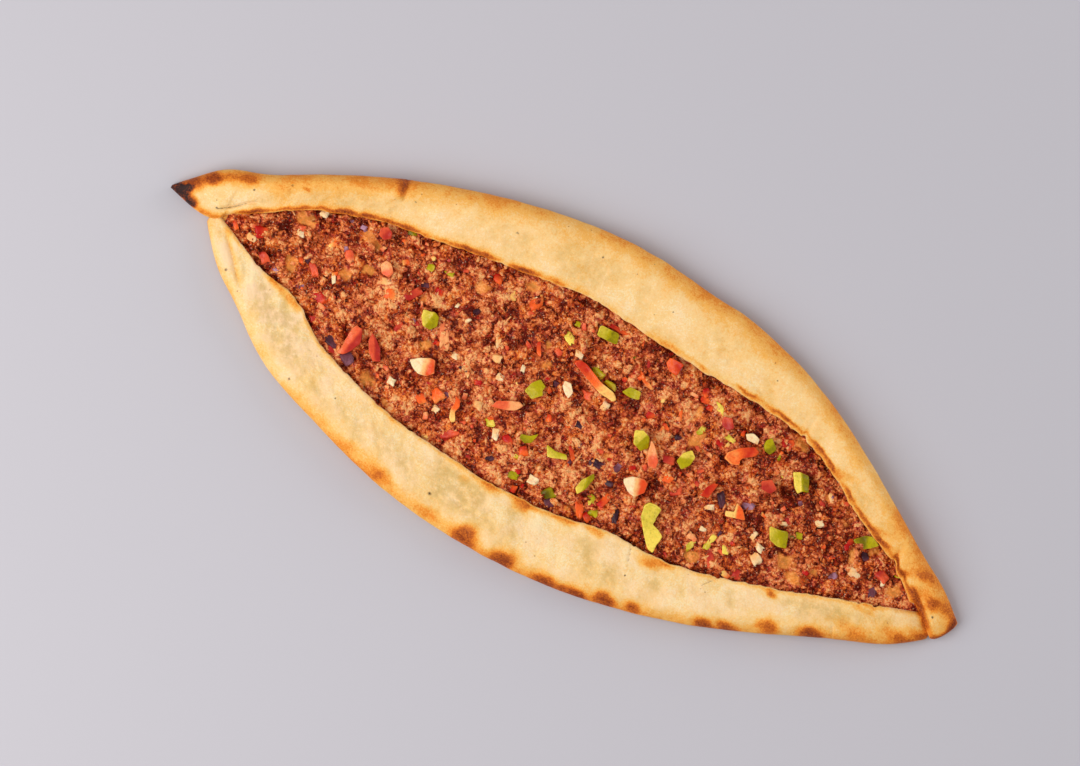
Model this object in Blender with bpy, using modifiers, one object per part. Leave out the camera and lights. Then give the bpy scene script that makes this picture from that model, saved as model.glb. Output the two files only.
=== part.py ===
"""Boat-shaped meat flatbread: a thin dough base whose two long edges fold inwards over a layer of
spiced mince, with diced peppers, tomato and onion on top. The ends of the far fold lap over those
of the near one and are pinched to points.

Metres, +Z up. X runs from tip to tip, +Y points to the far fold, and the origin is the middle of
the underside's bounding box. The bread lies flat on its base.
"""

import math

import bmesh
import bpy
import numpy as np

# ---------------------------------------------------------------- driving dimensions
HALF_LENGTH = 0.200
TIP_LINE_Y = -0.0015  # the line through both tips, seen from the middle of the width

BASE_THICKNESS = 0.0045
FAR_CROWN = 0.0155  # height of the puffed far fold
NEAR_CROWN = 0.0128  # the near fold lies flatter
TIP_HEIGHT = 0.0025
FAR_LIP_UNDER = 0.0092  # underside of the folded-over dough where it lies on the filling
NEAR_LIP_UNDER = 0.0088
END_LIP_UNDER = 0.0070
LIP_THICKNESS = 0.0026
FAR_FOOT, NEAR_FOOT = 0.0006, 0.0010  # the folds' undersides, inside the base sheet
POCKET_DEPTH = 0.0088  # how far the filling's space reaches under a fold
TUCK = 0.0055  # how far the filling itself reaches under a fold

FILLING_TOP = 0.0088
FILLING_UNDER_LIP = 0.0076
FILLING_AT_ENDS = 0.0059
SEAT_HEIGHT = 0.0076  # the filling is pressed down to this under a large piece
GAP = 0.0003  # clearance between pieces that touch

# Ends of the opening between the two folds, and of the near fold
OPENING_LEFT, OPENING_RIGHT = -0.173, 0.179
NEAR_LEFT, NEAR_RIGHT = -0.1784, 0.1910
BASE_LEFT, BASE_RIGHT = -0.1915, 0.1935
FILLING_LEFT, FILLING_RIGHT = -0.1635, 0.1685

# An edge seen from above, measured from the tip line. It is a blunt parabola on each side of its
# widest point, with the bulges and dents that hands left in it: (place, width, amount).
FAR_OUTER = dict(width=0.0810, middle=0.0475, ends=(-0.200, 0.200), powers=(2.41, 1.33),
                 bumps=((-0.183, 0.014, 0.0054), (0.047, 0.038, -0.0061), (0.187, 0.015, 0.0021)))
NEAR_OUTER = dict(width=0.0752, middle=-0.0024, ends=(-0.182, 0.201), powers=(2.24, 1.99),
                  bumps=((-0.166, 0.014, 0.0042), (-0.129, 0.027, 0.0053), (0.182, 0.025, 0.0055)))
FAR_LIP = dict(width=0.0436, middle=0.0128, ends=(-0.174, 0.176), powers=(2.77, 4.00),
               bumps=((-0.141, 0.014, 0.0021), (-0.115, 0.023, 0.0025), (-0.013, 0.032, 0.0041),
                      (0.139, 0.026, -0.0074)))
NEAR_LIP = dict(width=0.0534, middle=-0.0160, ends=(-0.174, 0.186), powers=(1.44, 1.62),
                bumps=((-0.128, 0.013, -0.0056), (-0.012, 0.053, -0.0080), (0.044, 0.021, -0.0047),
                       (0.186, 0.021, 0.0024)))

LEFT_HEEL = 0.0043  # how far the pinched left tip reaches to the near side
RIGHT_LAP = ((0.170, 0.0060), (0.192, -0.0107))  # edge of the far fold's end lying over the near one

# ---------------------------------------------------------------- resolution
RIM_STATIONS = 54
BASE_STATIONS = 34
FILLING_STATIONS = 90
FILLING_COLUMNS = 27

# ---------------------------------------------------------------- large pieces on the filling
# name: (x, y, length, width, turn in degrees, thickness), from the tip line, sizes in millimetres
MM = 0.001
DICE = {
    "green_pepper_01": (-71.0, 4.5, 9.0, 8.0, -20, 4.2),
    "green_pepper_02": (2.0, 37.6, 10.0, 6.8, -6, 3.4),
    "green_pepper_03": (23.0, 20.0, 8.6, 4.2, 8, 2.8),
    "green_pepper_04": (37.6, 3.4, 9.0, 8.0, -35, 4.2),
    "green_pepper_05": (-14.5, 1.0, 9.5, 6.2, 62, 3.0),
    "green_pepper_06": (58.8, 5.6, 9.6, 6.0, 76, 3.0),
    "green_pepper_07": (24.6, -25.6, 10.8, 4.4, 76, 2.8),
    "green_pepper_08": (88.6, 29.4, 7.2, 5.6, 72, 3.2),
    "green_pepper_09": (108.2, 22.6, 9.8, 8.0, -22, 4.4),
    "green_pepper_10": (110.6, -4.0, 11.0, 7.4, -12, 3.8),
    "green_pepper_11": (146.0, 13.4, 8.0, 4.6, 14, 2.8),
    "red_pepper_01": (33.8, 37.6, 8.0, 6.6, -42, 3.4),
    "red_pepper_02": (73.4, -3.4, 9.8, 4.8, 72, 2.6),
    "red_pepper_03": (92.0, -4.2, 9.0, 5.2, -60, 2.8),
    "tomato_01": (47.0, -1.4, 11.0, 5.2, -60, 3.0),
    "tomato_02": (-21.6, -11.4, 14.6, 5.4, 28, 3.0),
    "tomato_03": (67.2, 28.6, 7.4, 6.6, 80, 3.0),
    "tomato_04": (-106.0, 28.4, 7.4, 6.2, 70, 3.0),
    "tomato_05": (-99.0, 13.6, 7.6, 6.4, -40, 3.2),
    "tomato_06": (95.4, 13.6, 8.2, 7.4, 10, 2.6),
    "onion_01": (-62.6, -14.0, 12.4, 8.0, 8, 3.6),
    "onion_02": (44.8, -15.2, 12.2, 7.4, 14, 3.4),
    "onion_03": (-2.2, 8.0, 7.4, 5.2, -62, 3.4),
    "onion_04": (80.2, 28.4, 7.0, 5.0, -40, 3.0),
}
# Strips and wedges bend along their length: the last value is the sagitta of the bend, in plan
BENT_STRIPS = {
    "red_pepper_strip_01": (6.2, 16.6, 25.0, 4.6, -17, 3.2, -0.6),
    "red_pepper_strip_02": (-41.4, -25.0, 11.6, 3.8, -66, 2.8, 0.5),
    "green_pepper_strip_01": (7.2, -20.6, 10.8, 3.4, 2, 2.4, -1.5),
    "green_pepper_strip_02": (-6.8, -20.2, 8.4, 3.2, 38, 2.4, -1.4),
    "tomato_wedge_01": (-95.4, -20.2, 16.0, 6.8, 62, 3.8, 1.3),
    "tomato_wedge_02": (-85.8, -18.2, 14.2, 5.4, -66, 3.4, 1.6),
}
# A pepper slice with a side arm, and one broad piece of thin pepper skin
FORKED_PIECE = ("red_pepper_fork", 80.6, 20.6, 3.0)
FORK_OUTLINE = ((-7.2, -1.6), (-2.0, -6.0), (1.2, -5.2), (0.6, -1.8), (7.6, 2.4), (6.4, 5.6),
                (-1.4, 2.6), (-6.4, 2.2))
SKIN_STRIP = ("green_pepper_skin", 60.0, -27.4, 20.4, 9.0, -64, 1.3)

STRIP_CUTS = 4
SMALL_BITS = 64
BIT_ROOT = 0.0056  # the bits reach down to this inside the mince
SEED = 11

CRUST = ("crust", (0.93, 0.69, 0.33), 0.62)
MINCE = ("mince", (0.36, 0.10, 0.04), 0.40)
GREEN = ("green_pepper", (0.42, 0.40, 0.02), 0.28)
RED = ("red_pepper", (0.72, 0.07, 0.02), 0.28)
TOMATO = ("tomato", (0.62, 0.08, 0.04), 0.30)
ONION = ("onion", (0.95, 0.72, 0.40), 0.38)
FINISHES = {"green": GREEN, "red": RED, "tomato": TOMATO, "onion": ONION}


# ---------------------------------------------------------------- outlines
def smooth(t):
    """0 below 0, 1 above 1, and an S-curve between."""
    t = np.clip(t, 0.0, 1.0)
    return t * t * (3.0 - 2.0 * t)


def edge(shape, x):
    """Distance of an edge from the tip line at x: blunt parabola plus its bumps."""
    left, right = shape["ends"]
    middle = shape["middle"]
    on_left = x < middle
    share = np.where(on_left, (middle - x) / (middle - left), (x - middle) / (right - middle))
    power = np.where(on_left, *shape["powers"])
    y = shape["width"] * (1.0 - np.clip(share, 0.0, 1.0) ** power)
    for place, width, amount in shape["bumps"]:
        y = y + amount * np.exp(-(((x - place) / width) ** 2))
    return y


def far_lip(x):
    """Inner edge of the far fold: the opening's edge, then the edge of each pinched end."""
    y = edge(FAR_LIP, x)
    (x0, y0), (x1, y1) = RIGHT_LAP
    lap = y0 + (y1 - y0) * (x - x0) / (x1 - x0)
    y = np.where(x > 0.150, np.minimum(y, lap), y)
    nose = y1 * (1.0 - np.clip((x - x1) / (HALF_LENGTH - x1), 0.0, 1.0) ** 2)
    y = np.where(x > x1, nose, y)
    heel_share = np.clip((OPENING_LEFT - x) / (HALF_LENGTH + OPENING_LEFT), 0.0, 1.0)
    heel = -LEFT_HEEL * np.sin(math.pi * heel_share) ** 0.7
    return np.where(x < OPENING_LEFT, heel, y)


def far_span(x):
    """(outer edge, inner edge) of the far fold in Y."""
    return TIP_LINE_Y + edge(FAR_OUTER, x), TIP_LINE_Y + far_lip(x)


def near_span(x):
    """(outer edge, inner edge) of the near fold in Y."""
    return TIP_LINE_Y - edge(NEAR_OUTER, x), TIP_LINE_Y - edge(NEAR_LIP, x)


def openness(x):
    """1 where the two folds leave the filling open, 0 where a pinched end is solid."""
    run = 0.014
    return smooth((x - OPENING_LEFT) / run) * smooth((OPENING_RIGHT - x) / run)


def fullness(x):
    """1 along the middle of the opening, 0 where it closes: the filling thins out there."""
    run = 0.038
    return smooth((x - OPENING_LEFT) / run) * smooth((OPENING_RIGHT - x) / run)


def stations(first, last, count):
    """Places along X, closer together towards both ends."""
    t = np.linspace(0.0, 1.0, count)
    even = 2.0 * t - 1.0
    crowded = -np.cos(math.pi * t)
    return (first + last) / 2 + (last - first) / 2 * (0.55 * even + 0.45 * crowded)


# ---------------------------------------------------------------- relief
def lattice(ix, iy, seed):
    """A fixed random value from 0 to 1 for each whole-number grid point."""
    mixed = (ix * 374761393 + iy * 668265263 + seed * 974634777) & 0xFFFFFFFF
    mixed = ((mixed ^ (mixed >> 13)) * 1274126177) & 0xFFFFFFFF
    return ((mixed ^ (mixed >> 16)) & 0xFFFFFF) / float(0xFFFFFF)


def bumps(x, y, size, seed):
    """Smooth noise from -1 to 1 whose bumps are about `size` across."""
    u, v = np.asarray(x / size), np.asarray(y / size)
    iu, iv = np.floor(u).astype(np.int64), np.floor(v).astype(np.int64)
    fu, fv = smooth(u - iu), smooth(v - iv)
    near_row = lattice(iu, iv, seed) * (1 - fu) + lattice(iu + 1, iv, seed) * fu
    far_row = lattice(iu, iv + 1, seed) * (1 - fu) + lattice(iu + 1, iv + 1, seed) * fu
    return 2.0 * (near_row * (1 - fv) + far_row * fv) - 1.0


# ---------------------------------------------------------------- meshes
def add_object(name, work, finish, collection):
    """Turns a bmesh into an object of triangles whose normals point outwards."""
    bmesh.ops.triangulate(work, faces=work.faces)
    bmesh.ops.recalc_face_normals(work, faces=work.faces)
    mesh = bpy.data.meshes.new(name)
    work.to_mesh(mesh)
    work.free()
    mesh.materials.append(finish)
    piece = bpy.data.objects.new(name, mesh)
    collection.objects.link(piece)
    return piece


def loft(name, rings, finish, collection):
    """A closed body through unlike sections of equal length, each end closed by one face."""
    work = bmesh.new()
    rows = [[work.verts.new(tuple(map(float, point))) for point in ring] for ring in rings]
    for low, high in zip(rows, rows[1:]):
        for k in range(len(low)):
            n = (k + 1) % len(low)
            work.faces.new((low[k], low[n], high[n], high[k]))
    work.faces.new(rows[0])
    work.faces.new(rows[-1])
    return add_object(name, work, finish, collection)


def principled(name, colour, roughness):
    """A plain material with the piece's colour and gloss."""
    material = bpy.data.materials.new(name)
    material.use_nodes = True
    shader = material.node_tree.nodes["Principled BSDF"]
    shader.inputs["Base Color"].default_value = (*colour, 1.0)
    shader.inputs["Roughness"].default_value = roughness
    shader.inputs["Metallic"].default_value = 0.0
    return material


def join(target, others, solver):
    """Joins the objects of a collection into the target by one applied union."""
    modifier = target.modifiers.new("join", "BOOLEAN")
    modifier.operation = "UNION"
    modifier.operand_type = "COLLECTION"
    modifier.collection = others
    modifier.solver = solver
    bpy.context.view_layer.update()
    graph = bpy.context.evaluated_depsgraph_get()
    joined = bpy.data.meshes.new_from_object(target.evaluated_get(graph))
    target.modifiers.clear()
    target.data = joined
    for piece in list(others.objects):
        bpy.data.objects.remove(piece)
    bpy.data.collections.remove(others)


# ---------------------------------------------------------------- dough
def fold_ring(x, outer, inner, crown, lip_under, foot):
    """Section of a fold at x: round outside, domed top, thin lip over a pocket, foot in the base."""
    width = max(abs(outer - inner), 0.0016)
    inwards = math.copysign(1.0, inner - outer)
    open_share = float(openness(np.array(x)))
    shoulder = width * 0.33
    under = END_LIP_UNDER + (lip_under - END_LIP_UNDER) * float(fullness(np.array(x)))
    lip_top = min(under + LIP_THICKNESS, crown * 0.9)
    under = foot + (under - foot) * open_share
    lip_round = min(0.0012 + 0.0016 * (1 - open_share), width * 0.2)
    pocket = min(POCKET_DEPTH * open_share + 0.0012, width * 0.36)

    ring = []
    for angle in np.linspace(-90, 90, 7):  # up the round outside, from the foot to the crown
        rise = math.sin(math.radians(angle))
        belly = 0.42 * crown
        height = belly + rise * (crown - belly if rise > 0 else belly - foot)
        ring.append((shoulder * (1 - math.cos(math.radians(angle))), height))
    for t in np.linspace(0.2, 1.0, 5):  # across the top, falling to the lip
        across = shoulder + (width - lip_round - shoulder) * t
        ring.append((across, crown + (lip_top - crown) * float(smooth(np.array(t))) ** 1.2))
    ring.append((width, (lip_top + under) / 2))
    ring.append((width - lip_round, under))
    ring.append((width - pocket * 0.55, under - 0.0002 * open_share))
    ring.append((width - pocket, foot + (under - 0.0012 - foot) * open_share))
    ring.append((width - pocket * 1.06, foot + 0.0024 * open_share))

    points = []
    for across, height in ring:
        puff = float(bumps(np.array(x), np.array(outer + inwards * across), 0.021, 3))
        ripple = float(bumps(np.array(x), np.array(across), 0.011, 5))
        relief = (0.0008 * puff + 0.0004 * ripple) * smooth(np.array((height - 0.004) / 0.006))
        points.append((x, outer + inwards * across, height + float(relief) * min(1, width / 0.02)))
    return np.array(points)


def crown_height(x, crown, ends):
    """Height of a fold along X: level in the middle and falling to its ends."""
    left, right = ends
    share = abs(2.0 * (x - left) / (right - left) - 1.0)
    return TIP_HEIGHT + (crown - TIP_HEIGHT) * math.sqrt(max(1.0 - share**8, 0.0))


def make_fold(name, span, heights, ends, finish, collection):
    """One long folded edge, lofted from end to end. Heights: crown, lip's underside, foot."""
    crown, lip_under, foot = heights
    rings = []
    for x in stations(*ends, RIM_STATIONS):
        outer, inner = (float(v) for v in span(np.array(x)))
        top = crown_height(x, crown, ends)
        rings.append(fold_ring(float(x), outer, inner, top, lip_under, foot))
    return loft(name, rings, finish, collection)


def make_base(name, finish, collection):
    """The thin sheet under the filling, its rim sloping up into the folds."""
    rings = []
    for x in stations(BASE_LEFT, BASE_RIGHT, BASE_STATIONS):
        far, near = float(far_span(np.array(x))[0]), float(near_span(np.array(x))[0])
        if x < NEAR_LEFT:
            near = TIP_LINE_Y - LEFT_HEEL
        middle, half = (far + near) / 2, (far - near) / 2
        low, high = half - min(0.0110, half * 0.6), half - min(0.0065, half * 0.40)
        rings.append(np.array([
            (x, middle - low, 0.0), (x, middle + low, 0.0),
            (x, middle + high, BASE_THICKNESS * 0.6), (x, middle + high - 0.001, BASE_THICKNESS),
            (x, middle - high + 0.001, BASE_THICKNESS), (x, middle - high, BASE_THICKNESS * 0.6),
        ]))
    return loft(name, rings, finish, collection)


def make_dough(collection):
    """Base and both folds as one solid: in the real bread they are one sheet of dough."""
    finish = principled(*CRUST)
    folds = bpy.data.collections.new("folds")
    bpy.context.scene.collection.children.link(folds)
    make_fold("far_fold", far_span, (FAR_CROWN, FAR_LIP_UNDER, FAR_FOOT),
              (-HALF_LENGTH, HALF_LENGTH), finish, folds)
    make_fold("near_fold", near_span, (NEAR_CROWN, NEAR_LIP_UNDER, NEAR_FOOT),
              (NEAR_LEFT, NEAR_RIGHT), finish, folds)
    dough = make_base("dough", finish, collection)
    join(dough, folds, "MANIFOLD")
    return dough


# ---------------------------------------------------------------- filling
def footprint_distance(place, x, y):
    """Distance from a piece's footprint: a round-ended bar of its length and width."""
    cx, cy, length, width, turn = place[:5]
    angle = math.radians(turn)
    dx, dy = x - cx * MM, y - (cy * MM + TIP_LINE_Y)
    along = dx * math.cos(angle) + dy * math.sin(angle)
    across = -dx * math.sin(angle) + dy * math.cos(angle)
    reach = max(length - width, 0.0) * MM / 2
    return np.hypot(np.maximum(np.abs(along) - reach, 0.0), across) - width * MM / 2


def large_places():
    """Places of all the large pieces, as (x, y, length, width, turn)."""
    places = {name: spec[:5] for name, spec in {**DICE, **BENT_STRIPS}.items()}
    name, x, y, _ = FORKED_PIECE
    places[name] = (x, y, 15.0, 9.0, 40)
    places[SKIN_STRIP[0]] = SKIN_STRIP[1:6]
    return places


def filling_height(x, y):
    """Top of the mince: crumbly bumps, thin near the folds, pressed down under large pieces."""
    height = FILLING_TOP + 0.0007 * bumps(x, y, 0.012, 21) + 0.0009 * bumps(x, y, 0.0048, 22)
    far, near = far_span(x)[1], near_span(x)[1]
    inside = np.minimum(far - y, y - near)
    height = FILLING_UNDER_LIP + (height - FILLING_UNDER_LIP) * smooth((inside - 0.001) / 0.006)
    for place in large_places().values():
        pressed = 1.0 - smooth((footprint_distance(place, x, y) - 0.0018) / 0.0035)
        height = height + (SEAT_HEIGHT - height) * pressed
    return FILLING_AT_ENDS + (height - FILLING_AT_ENDS) * fullness(x)


def filling_grid():
    """(x, y) of the filling's grid: rows along X, columns from the near fold to the far one."""
    x = stations(FILLING_LEFT, FILLING_RIGHT, FILLING_STATIONS)
    tuck = TUCK * (0.15 + 0.85 * smooth((x - FILLING_LEFT) / 0.03)
                   * smooth((FILLING_RIGHT - x) / 0.03))
    far, near = far_span(x)[1] + tuck, near_span(x)[1] - tuck
    across = np.linspace(0.0, 1.0, FILLING_COLUMNS)
    grid_x = np.repeat(x[:, None], FILLING_COLUMNS, axis=1)
    return grid_x, near[:, None] + (far - near)[:, None] * across[None, :]


def make_filling_sheet(finish, collection):
    """The layer of mince: a bumpy top over a flat underside that lies on the base."""
    x, y = filling_grid()
    z = filling_height(x, y)
    work = bmesh.new()
    bmesh.ops.create_grid(work, x_segments=FILLING_STATIONS - 1, y_segments=FILLING_COLUMNS - 1,
                          size=0.5)
    for vertex in work.verts:
        i = round((vertex.co.x + 0.5) * (FILLING_STATIONS - 1))
        j = round((vertex.co.y + 0.5) * (FILLING_COLUMNS - 1))
        vertex.co = (x[i, j], y[i, j], z[i, j])
    border = [edge for edge in work.edges if edge.is_boundary]
    wall = bmesh.ops.extrude_edge_only(work, edges=border)["geom"]
    for vertex in (item for item in wall if isinstance(item, bmesh.types.BMVert)):
        vertex.co.z = BASE_THICKNESS + GAP
    bmesh.ops.edgeloop_fill(work, edges=[edge for edge in work.edges if edge.is_boundary])
    return add_object("filling", work, finish, collection)


def free_spots(count, clearance, rng):
    """Seeded spots on the open filling, clear of the folds, the large pieces and each other."""
    spots = []
    places = large_places().values()
    while len(spots) < count:
        x = rng.uniform(FILLING_LEFT + 0.008, FILLING_RIGHT - 0.008)
        y = rng.uniform(-0.045, 0.046)
        at_x, at_y = np.array(x), np.array(y)
        far, near = far_span(at_x)[1], near_span(at_x)[1]
        if min(far - y, y - near) < 0.0055:
            continue
        if min(float(footprint_distance(p, at_x, at_y)) for p in places) < clearance + 0.0012:
            continue
        if any(math.hypot(x - a, y - b) < 2 * clearance for a, b in spots):
            continue
        spots.append((x, y))
    return spots


def scatter_on_filling(finish, collection, rng):
    """Diced bits that stand out of the mince, at their true size."""
    for index, (x, y) in enumerate(free_spots(SMALL_BITS, 0.0031, rng)):
        work = bmesh.new()
        bmesh.ops.create_cube(work, size=1.0)
        size = np.array([rng.uniform(3.2, 5.4), rng.uniform(2.4, 3.6), rng.uniform(2.4, 3.2)])
        turn = rng.uniform(0, math.pi)
        centre = float(filling_height(np.array(x), np.array(y))) + 0.0002
        for vertex in work.verts:
            a, b, c = np.array(vertex.co) * size * MM + rng.uniform(-0.25, 0.25, 3) * MM
            height, spread = (centre + c, 1.0) if c > 0 else (BIT_ROOT, 1.35)
            a, b = a * spread, b * spread
            vertex.co = (x + a * math.cos(turn) - b * math.sin(turn),
                         y + a * math.sin(turn) + b * math.cos(turn), height)
        add_object(f"bit_{index:03d}", work, finish, collection)


def make_filling(collection):
    """The mince with its small pieces fused on."""
    finish = principled(*MINCE)
    filling = make_filling_sheet(finish, collection)
    pieces = bpy.data.collections.new("small_pieces")
    bpy.context.scene.collection.children.link(pieces)
    scatter_on_filling(finish, pieces, np.random.default_rng(SEED))
    join(filling, pieces, "MANIFOLD")
    return filling


# ---------------------------------------------------------------- large pieces
def resting_height(place):
    """Where a large piece's underside lies: just above the highest mince under and beside it."""
    x, y = filling_grid()
    beside = footprint_distance(place, x, y) < 0.0052
    return float(filling_height(x, y)[beside].max()) + GAP


def settle(piece, place, thickness, collection):
    """Puts a piece that is modelled about its own middle on the filling, turned as it lies."""
    x, y, turn = place[0], place[1], place[4]
    height = resting_height(place) + thickness * MM / 2
    piece.location = (x * MM, y * MM + TIP_LINE_Y, height)
    piece.rotation_euler.z = math.radians(turn)


def round_off(piece, width):
    """Chamfers every edge of a cut piece: cooking rounds them."""
    bevel = piece.modifiers.new("cooked_edges", "BEVEL")
    bevel.width = width
    bevel.segments = 1
    bevel.limit_method = "ANGLE"
    bevel.angle_limit = math.radians(40)


def make_dice(name, spec, finish, collection, rng):
    """A diced block: a cube at its real size with its corners a little out of true."""
    length, width, thickness = spec[2], spec[3], spec[5]
    work = bmesh.new()
    bmesh.ops.create_cube(work, size=1.0)
    for vertex in work.verts:
        inset = 0.86 if vertex.co.z > 0 else 0.97
        vertex.co.x *= length * MM * inset * rng.uniform(0.90, 1.05)
        vertex.co.y *= width * MM * inset * rng.uniform(0.90, 1.05)
        vertex.co.z *= thickness * MM
    piece = add_object(name, work, finish, collection)
    round_off(piece, 0.15 * min(width, thickness) * MM)
    settle(piece, spec, thickness, collection)


def make_strip(name, spec, finish, collection):
    """A cut strip: a long block whose ends taper and whose middle bows sideways."""
    length, width, thickness, sagitta = spec[2], spec[3], spec[5], spec[6]
    work = bmesh.new()
    bmesh.ops.create_cube(work, size=1.0)
    long_edges = [edge for edge in work.edges
                  if abs(edge.verts[0].co.x - edge.verts[1].co.x) > 0.5]
    bmesh.ops.subdivide_edges(work, edges=long_edges, cuts=STRIP_CUTS, use_grid_fill=True)
    for vertex in work.verts:
        t = 2.0 * vertex.co.x
        inset = 0.84 if vertex.co.z > 0 else 1.0
        vertex.co.x *= length * MM
        vertex.co.y *= width * MM * inset * (1.0 - 0.4 * abs(t) ** 3)
        vertex.co.y += sagitta * MM * (1.0 - t * t)
        vertex.co.z *= thickness * MM
    piece = add_object(name, work, finish, collection)
    settle(piece, spec, thickness, collection)


def make_fork(finish, collection):
    """The pepper slice with a side arm: a flat outline with thickness and chamfered edges."""
    name, x, y, thickness = FORKED_PIECE
    curve = bpy.data.curves.new(name, "CURVE")
    curve.dimensions = "2D"
    curve.fill_mode = "BOTH"
    curve.bevel_depth = 0.4 * MM
    curve.bevel_resolution = 0
    curve.offset = -0.4 * MM
    curve.extrude = thickness * MM / 2 - curve.bevel_depth
    outline = curve.splines.new("POLY")
    outline.points.add(len(FORK_OUTLINE) - 1)
    for point, (across, along) in zip(outline.points, FORK_OUTLINE):
        point.co = (across * MM, along * MM, 0.0, 1.0)
    outline.use_cyclic_u = True
    curve.materials.append(finish)
    piece = bpy.data.objects.new(name, curve)
    collection.objects.link(piece)
    settle(piece, (x, y, 15.0, 9.0, 0), thickness, collection)


def make_skin_strip(finish, collection):
    """The broad piece of thin pepper skin: a wavy sheet with a notch in one side."""
    name, x, y, length, width, turn, thickness = SKIN_STRIP
    work = bmesh.new()
    bmesh.ops.create_grid(work, x_segments=7, y_segments=3, size=0.5)
    for vertex in work.verts:
        t, v = vertex.co.x + 0.5, 2.0 * vertex.co.y
        notch = 0.42 * math.exp(-(((t - 0.36) / 0.09) ** 2))
        half = width / 2 * (0.50 + 0.85 * t * (1.6 - t) - notch)
        wave = 0.5 + 0.35 * math.sin(7.0 * t + v) + 0.5 * v * v
        vertex.co.x *= length * MM
        vertex.co.y = (half * v + 1.2 * math.sin(2.4 * t + 0.4)) * MM
        vertex.co.z = wave * MM
    piece = add_object(name, work, finish, collection)
    if piece.data.polygons[0].normal.z < 0:
        piece.data.flip_normals()
    skin = piece.modifiers.new("skin", "SOLIDIFY")
    skin.thickness = thickness * MM
    skin.offset = 1.0
    settle(piece, (x, y, length, width, turn), 0.0, collection)


def make_large_pieces(collection):
    """Every piece that is large enough to be picked off the bread."""
    finishes = {key: principled(*spec) for key, spec in FINISHES.items()}
    rng = np.random.default_rng(SEED + 1)
    for name, spec in DICE.items():
        make_dice(name, spec, finishes[name.split("_")[0]], collection, rng)
    for name, spec in BENT_STRIPS.items():
        make_strip(name, spec, finishes[name.split("_")[0]], collection)
    make_fork(finishes["red"], collection)
    make_skin_strip(finishes["green"], collection)


def main():
    for item in list(bpy.data.objects):
        bpy.data.objects.remove(item)
    bread = bpy.data.collections.new("meat_flatbread")
    bpy.context.scene.collection.children.link(bread)
    make_dough(bread)
    make_filling(bread)
    make_large_pieces(bread)


main()
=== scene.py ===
"""Looks of a boat-shaped meat flatbread: baked dough, a crumbly layer of spiced mince, and diced
peppers, tomato and onion. Everything is in metres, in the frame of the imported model: X from the
burnt tip to the other one, +Y to the higher fold, +Z up, the underside at zero.
"""

import math

import bpy
import numpy as np
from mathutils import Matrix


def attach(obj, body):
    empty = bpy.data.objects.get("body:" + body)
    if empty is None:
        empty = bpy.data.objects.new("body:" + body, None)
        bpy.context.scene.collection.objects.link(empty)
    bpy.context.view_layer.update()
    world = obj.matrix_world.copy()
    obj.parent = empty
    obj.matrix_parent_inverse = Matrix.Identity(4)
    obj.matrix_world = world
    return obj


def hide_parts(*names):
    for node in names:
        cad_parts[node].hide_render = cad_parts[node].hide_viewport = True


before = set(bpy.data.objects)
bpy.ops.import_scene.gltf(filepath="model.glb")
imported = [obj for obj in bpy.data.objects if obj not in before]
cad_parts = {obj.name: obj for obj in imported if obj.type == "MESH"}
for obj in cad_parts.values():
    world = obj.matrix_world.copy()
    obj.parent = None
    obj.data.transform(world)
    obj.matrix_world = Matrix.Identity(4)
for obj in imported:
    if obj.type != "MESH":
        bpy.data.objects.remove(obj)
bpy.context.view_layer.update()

bl_info = {
    "name": "Meat Flatbread",
    "version": (1, 0, 0),
    "blender": (4, 5, 0),
    "location": "View3D > Sidebar > Flatbread",
    "description": "Builds the crust, filling and toppings of a boat-shaped meat flatbread",
    "category": "Add Mesh",
}

MM = 0.001
HASH_X, HASH_Y, HASH_SEED, HASH_MIX = 374761393, 668265263, 974634777, 1274126177

# ---------------------------------------------------------------- outlines, in metres
# Distance of each edge from the tip line: a blunt parabola on each side of its widest point, with
# bulges and dents: (place, width, amount)
FAR_OUTER = dict(width=0.0810, middle=0.0475, ends=(-0.200, 0.200), powers=(2.41, 1.33),
                 bumps=((-0.183, 0.014, 0.0054), (0.047, 0.038, -0.0061), (0.187, 0.015, 0.0021)))
NEAR_OUTER = dict(width=0.0752, middle=-0.0024, ends=(-0.182, 0.201), powers=(2.24, 1.99),
                  bumps=((-0.166, 0.014, 0.0042), (-0.129, 0.027, 0.0053), (0.182, 0.025, 0.0055)))
FAR_LIP = dict(width=0.0436, middle=0.0128, ends=(-0.174, 0.176), powers=(2.77, 4.00),
               bumps=((-0.141, 0.014, 0.0021), (-0.115, 0.023, 0.0025), (-0.013, 0.032, 0.0041),
                      (0.139, 0.026, -0.0074)))
NEAR_LIP = dict(width=0.0534, middle=-0.0160, ends=(-0.174, 0.186), powers=(1.44, 1.62),
                bumps=((-0.128, 0.013, -0.0056), (-0.012, 0.053, -0.0080), (0.044, 0.021, -0.0047),
                       (0.186, 0.021, 0.0010)))
# Distance of both tips from the origin along X, how far the burnt tip's heel bulges over the tip
# line, and the line of the lap at the other end
TIP = 0.200
LEFT_HEEL = 0.0036
RIGHT_LAP = ((0.170, 0.0060), (0.192, -0.0107))
# Where the opening, the two folds, the sheet below them and the mince start and stop along X
OPENING = (-0.173, 0.179)
FAR_ENDS = (-0.1998, 0.1998)
NEAR_ENDS = (-0.1784, 0.1910)
BASE_ENDS = (-0.1915, 0.1935)
CORE_ENDS = (-0.1712, 0.1812)
# Where loose mince and bits may lie: along X and across
LOOSE_ENDS = (-0.1700, 0.1755)
LOOSE_REACH = 0.054
# Over how much of the opening's ends the heights under the folds change to their full value
END_RUN = 0.038
# Height of the lips' underside above the filling: at the opening's ends, and how much more between
LOW_ROOF, ROOF_RISE = 0.0052, 0.0033
# Height of a fold at its very ends
FOLD_END_HEIGHT = 0.0025

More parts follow.
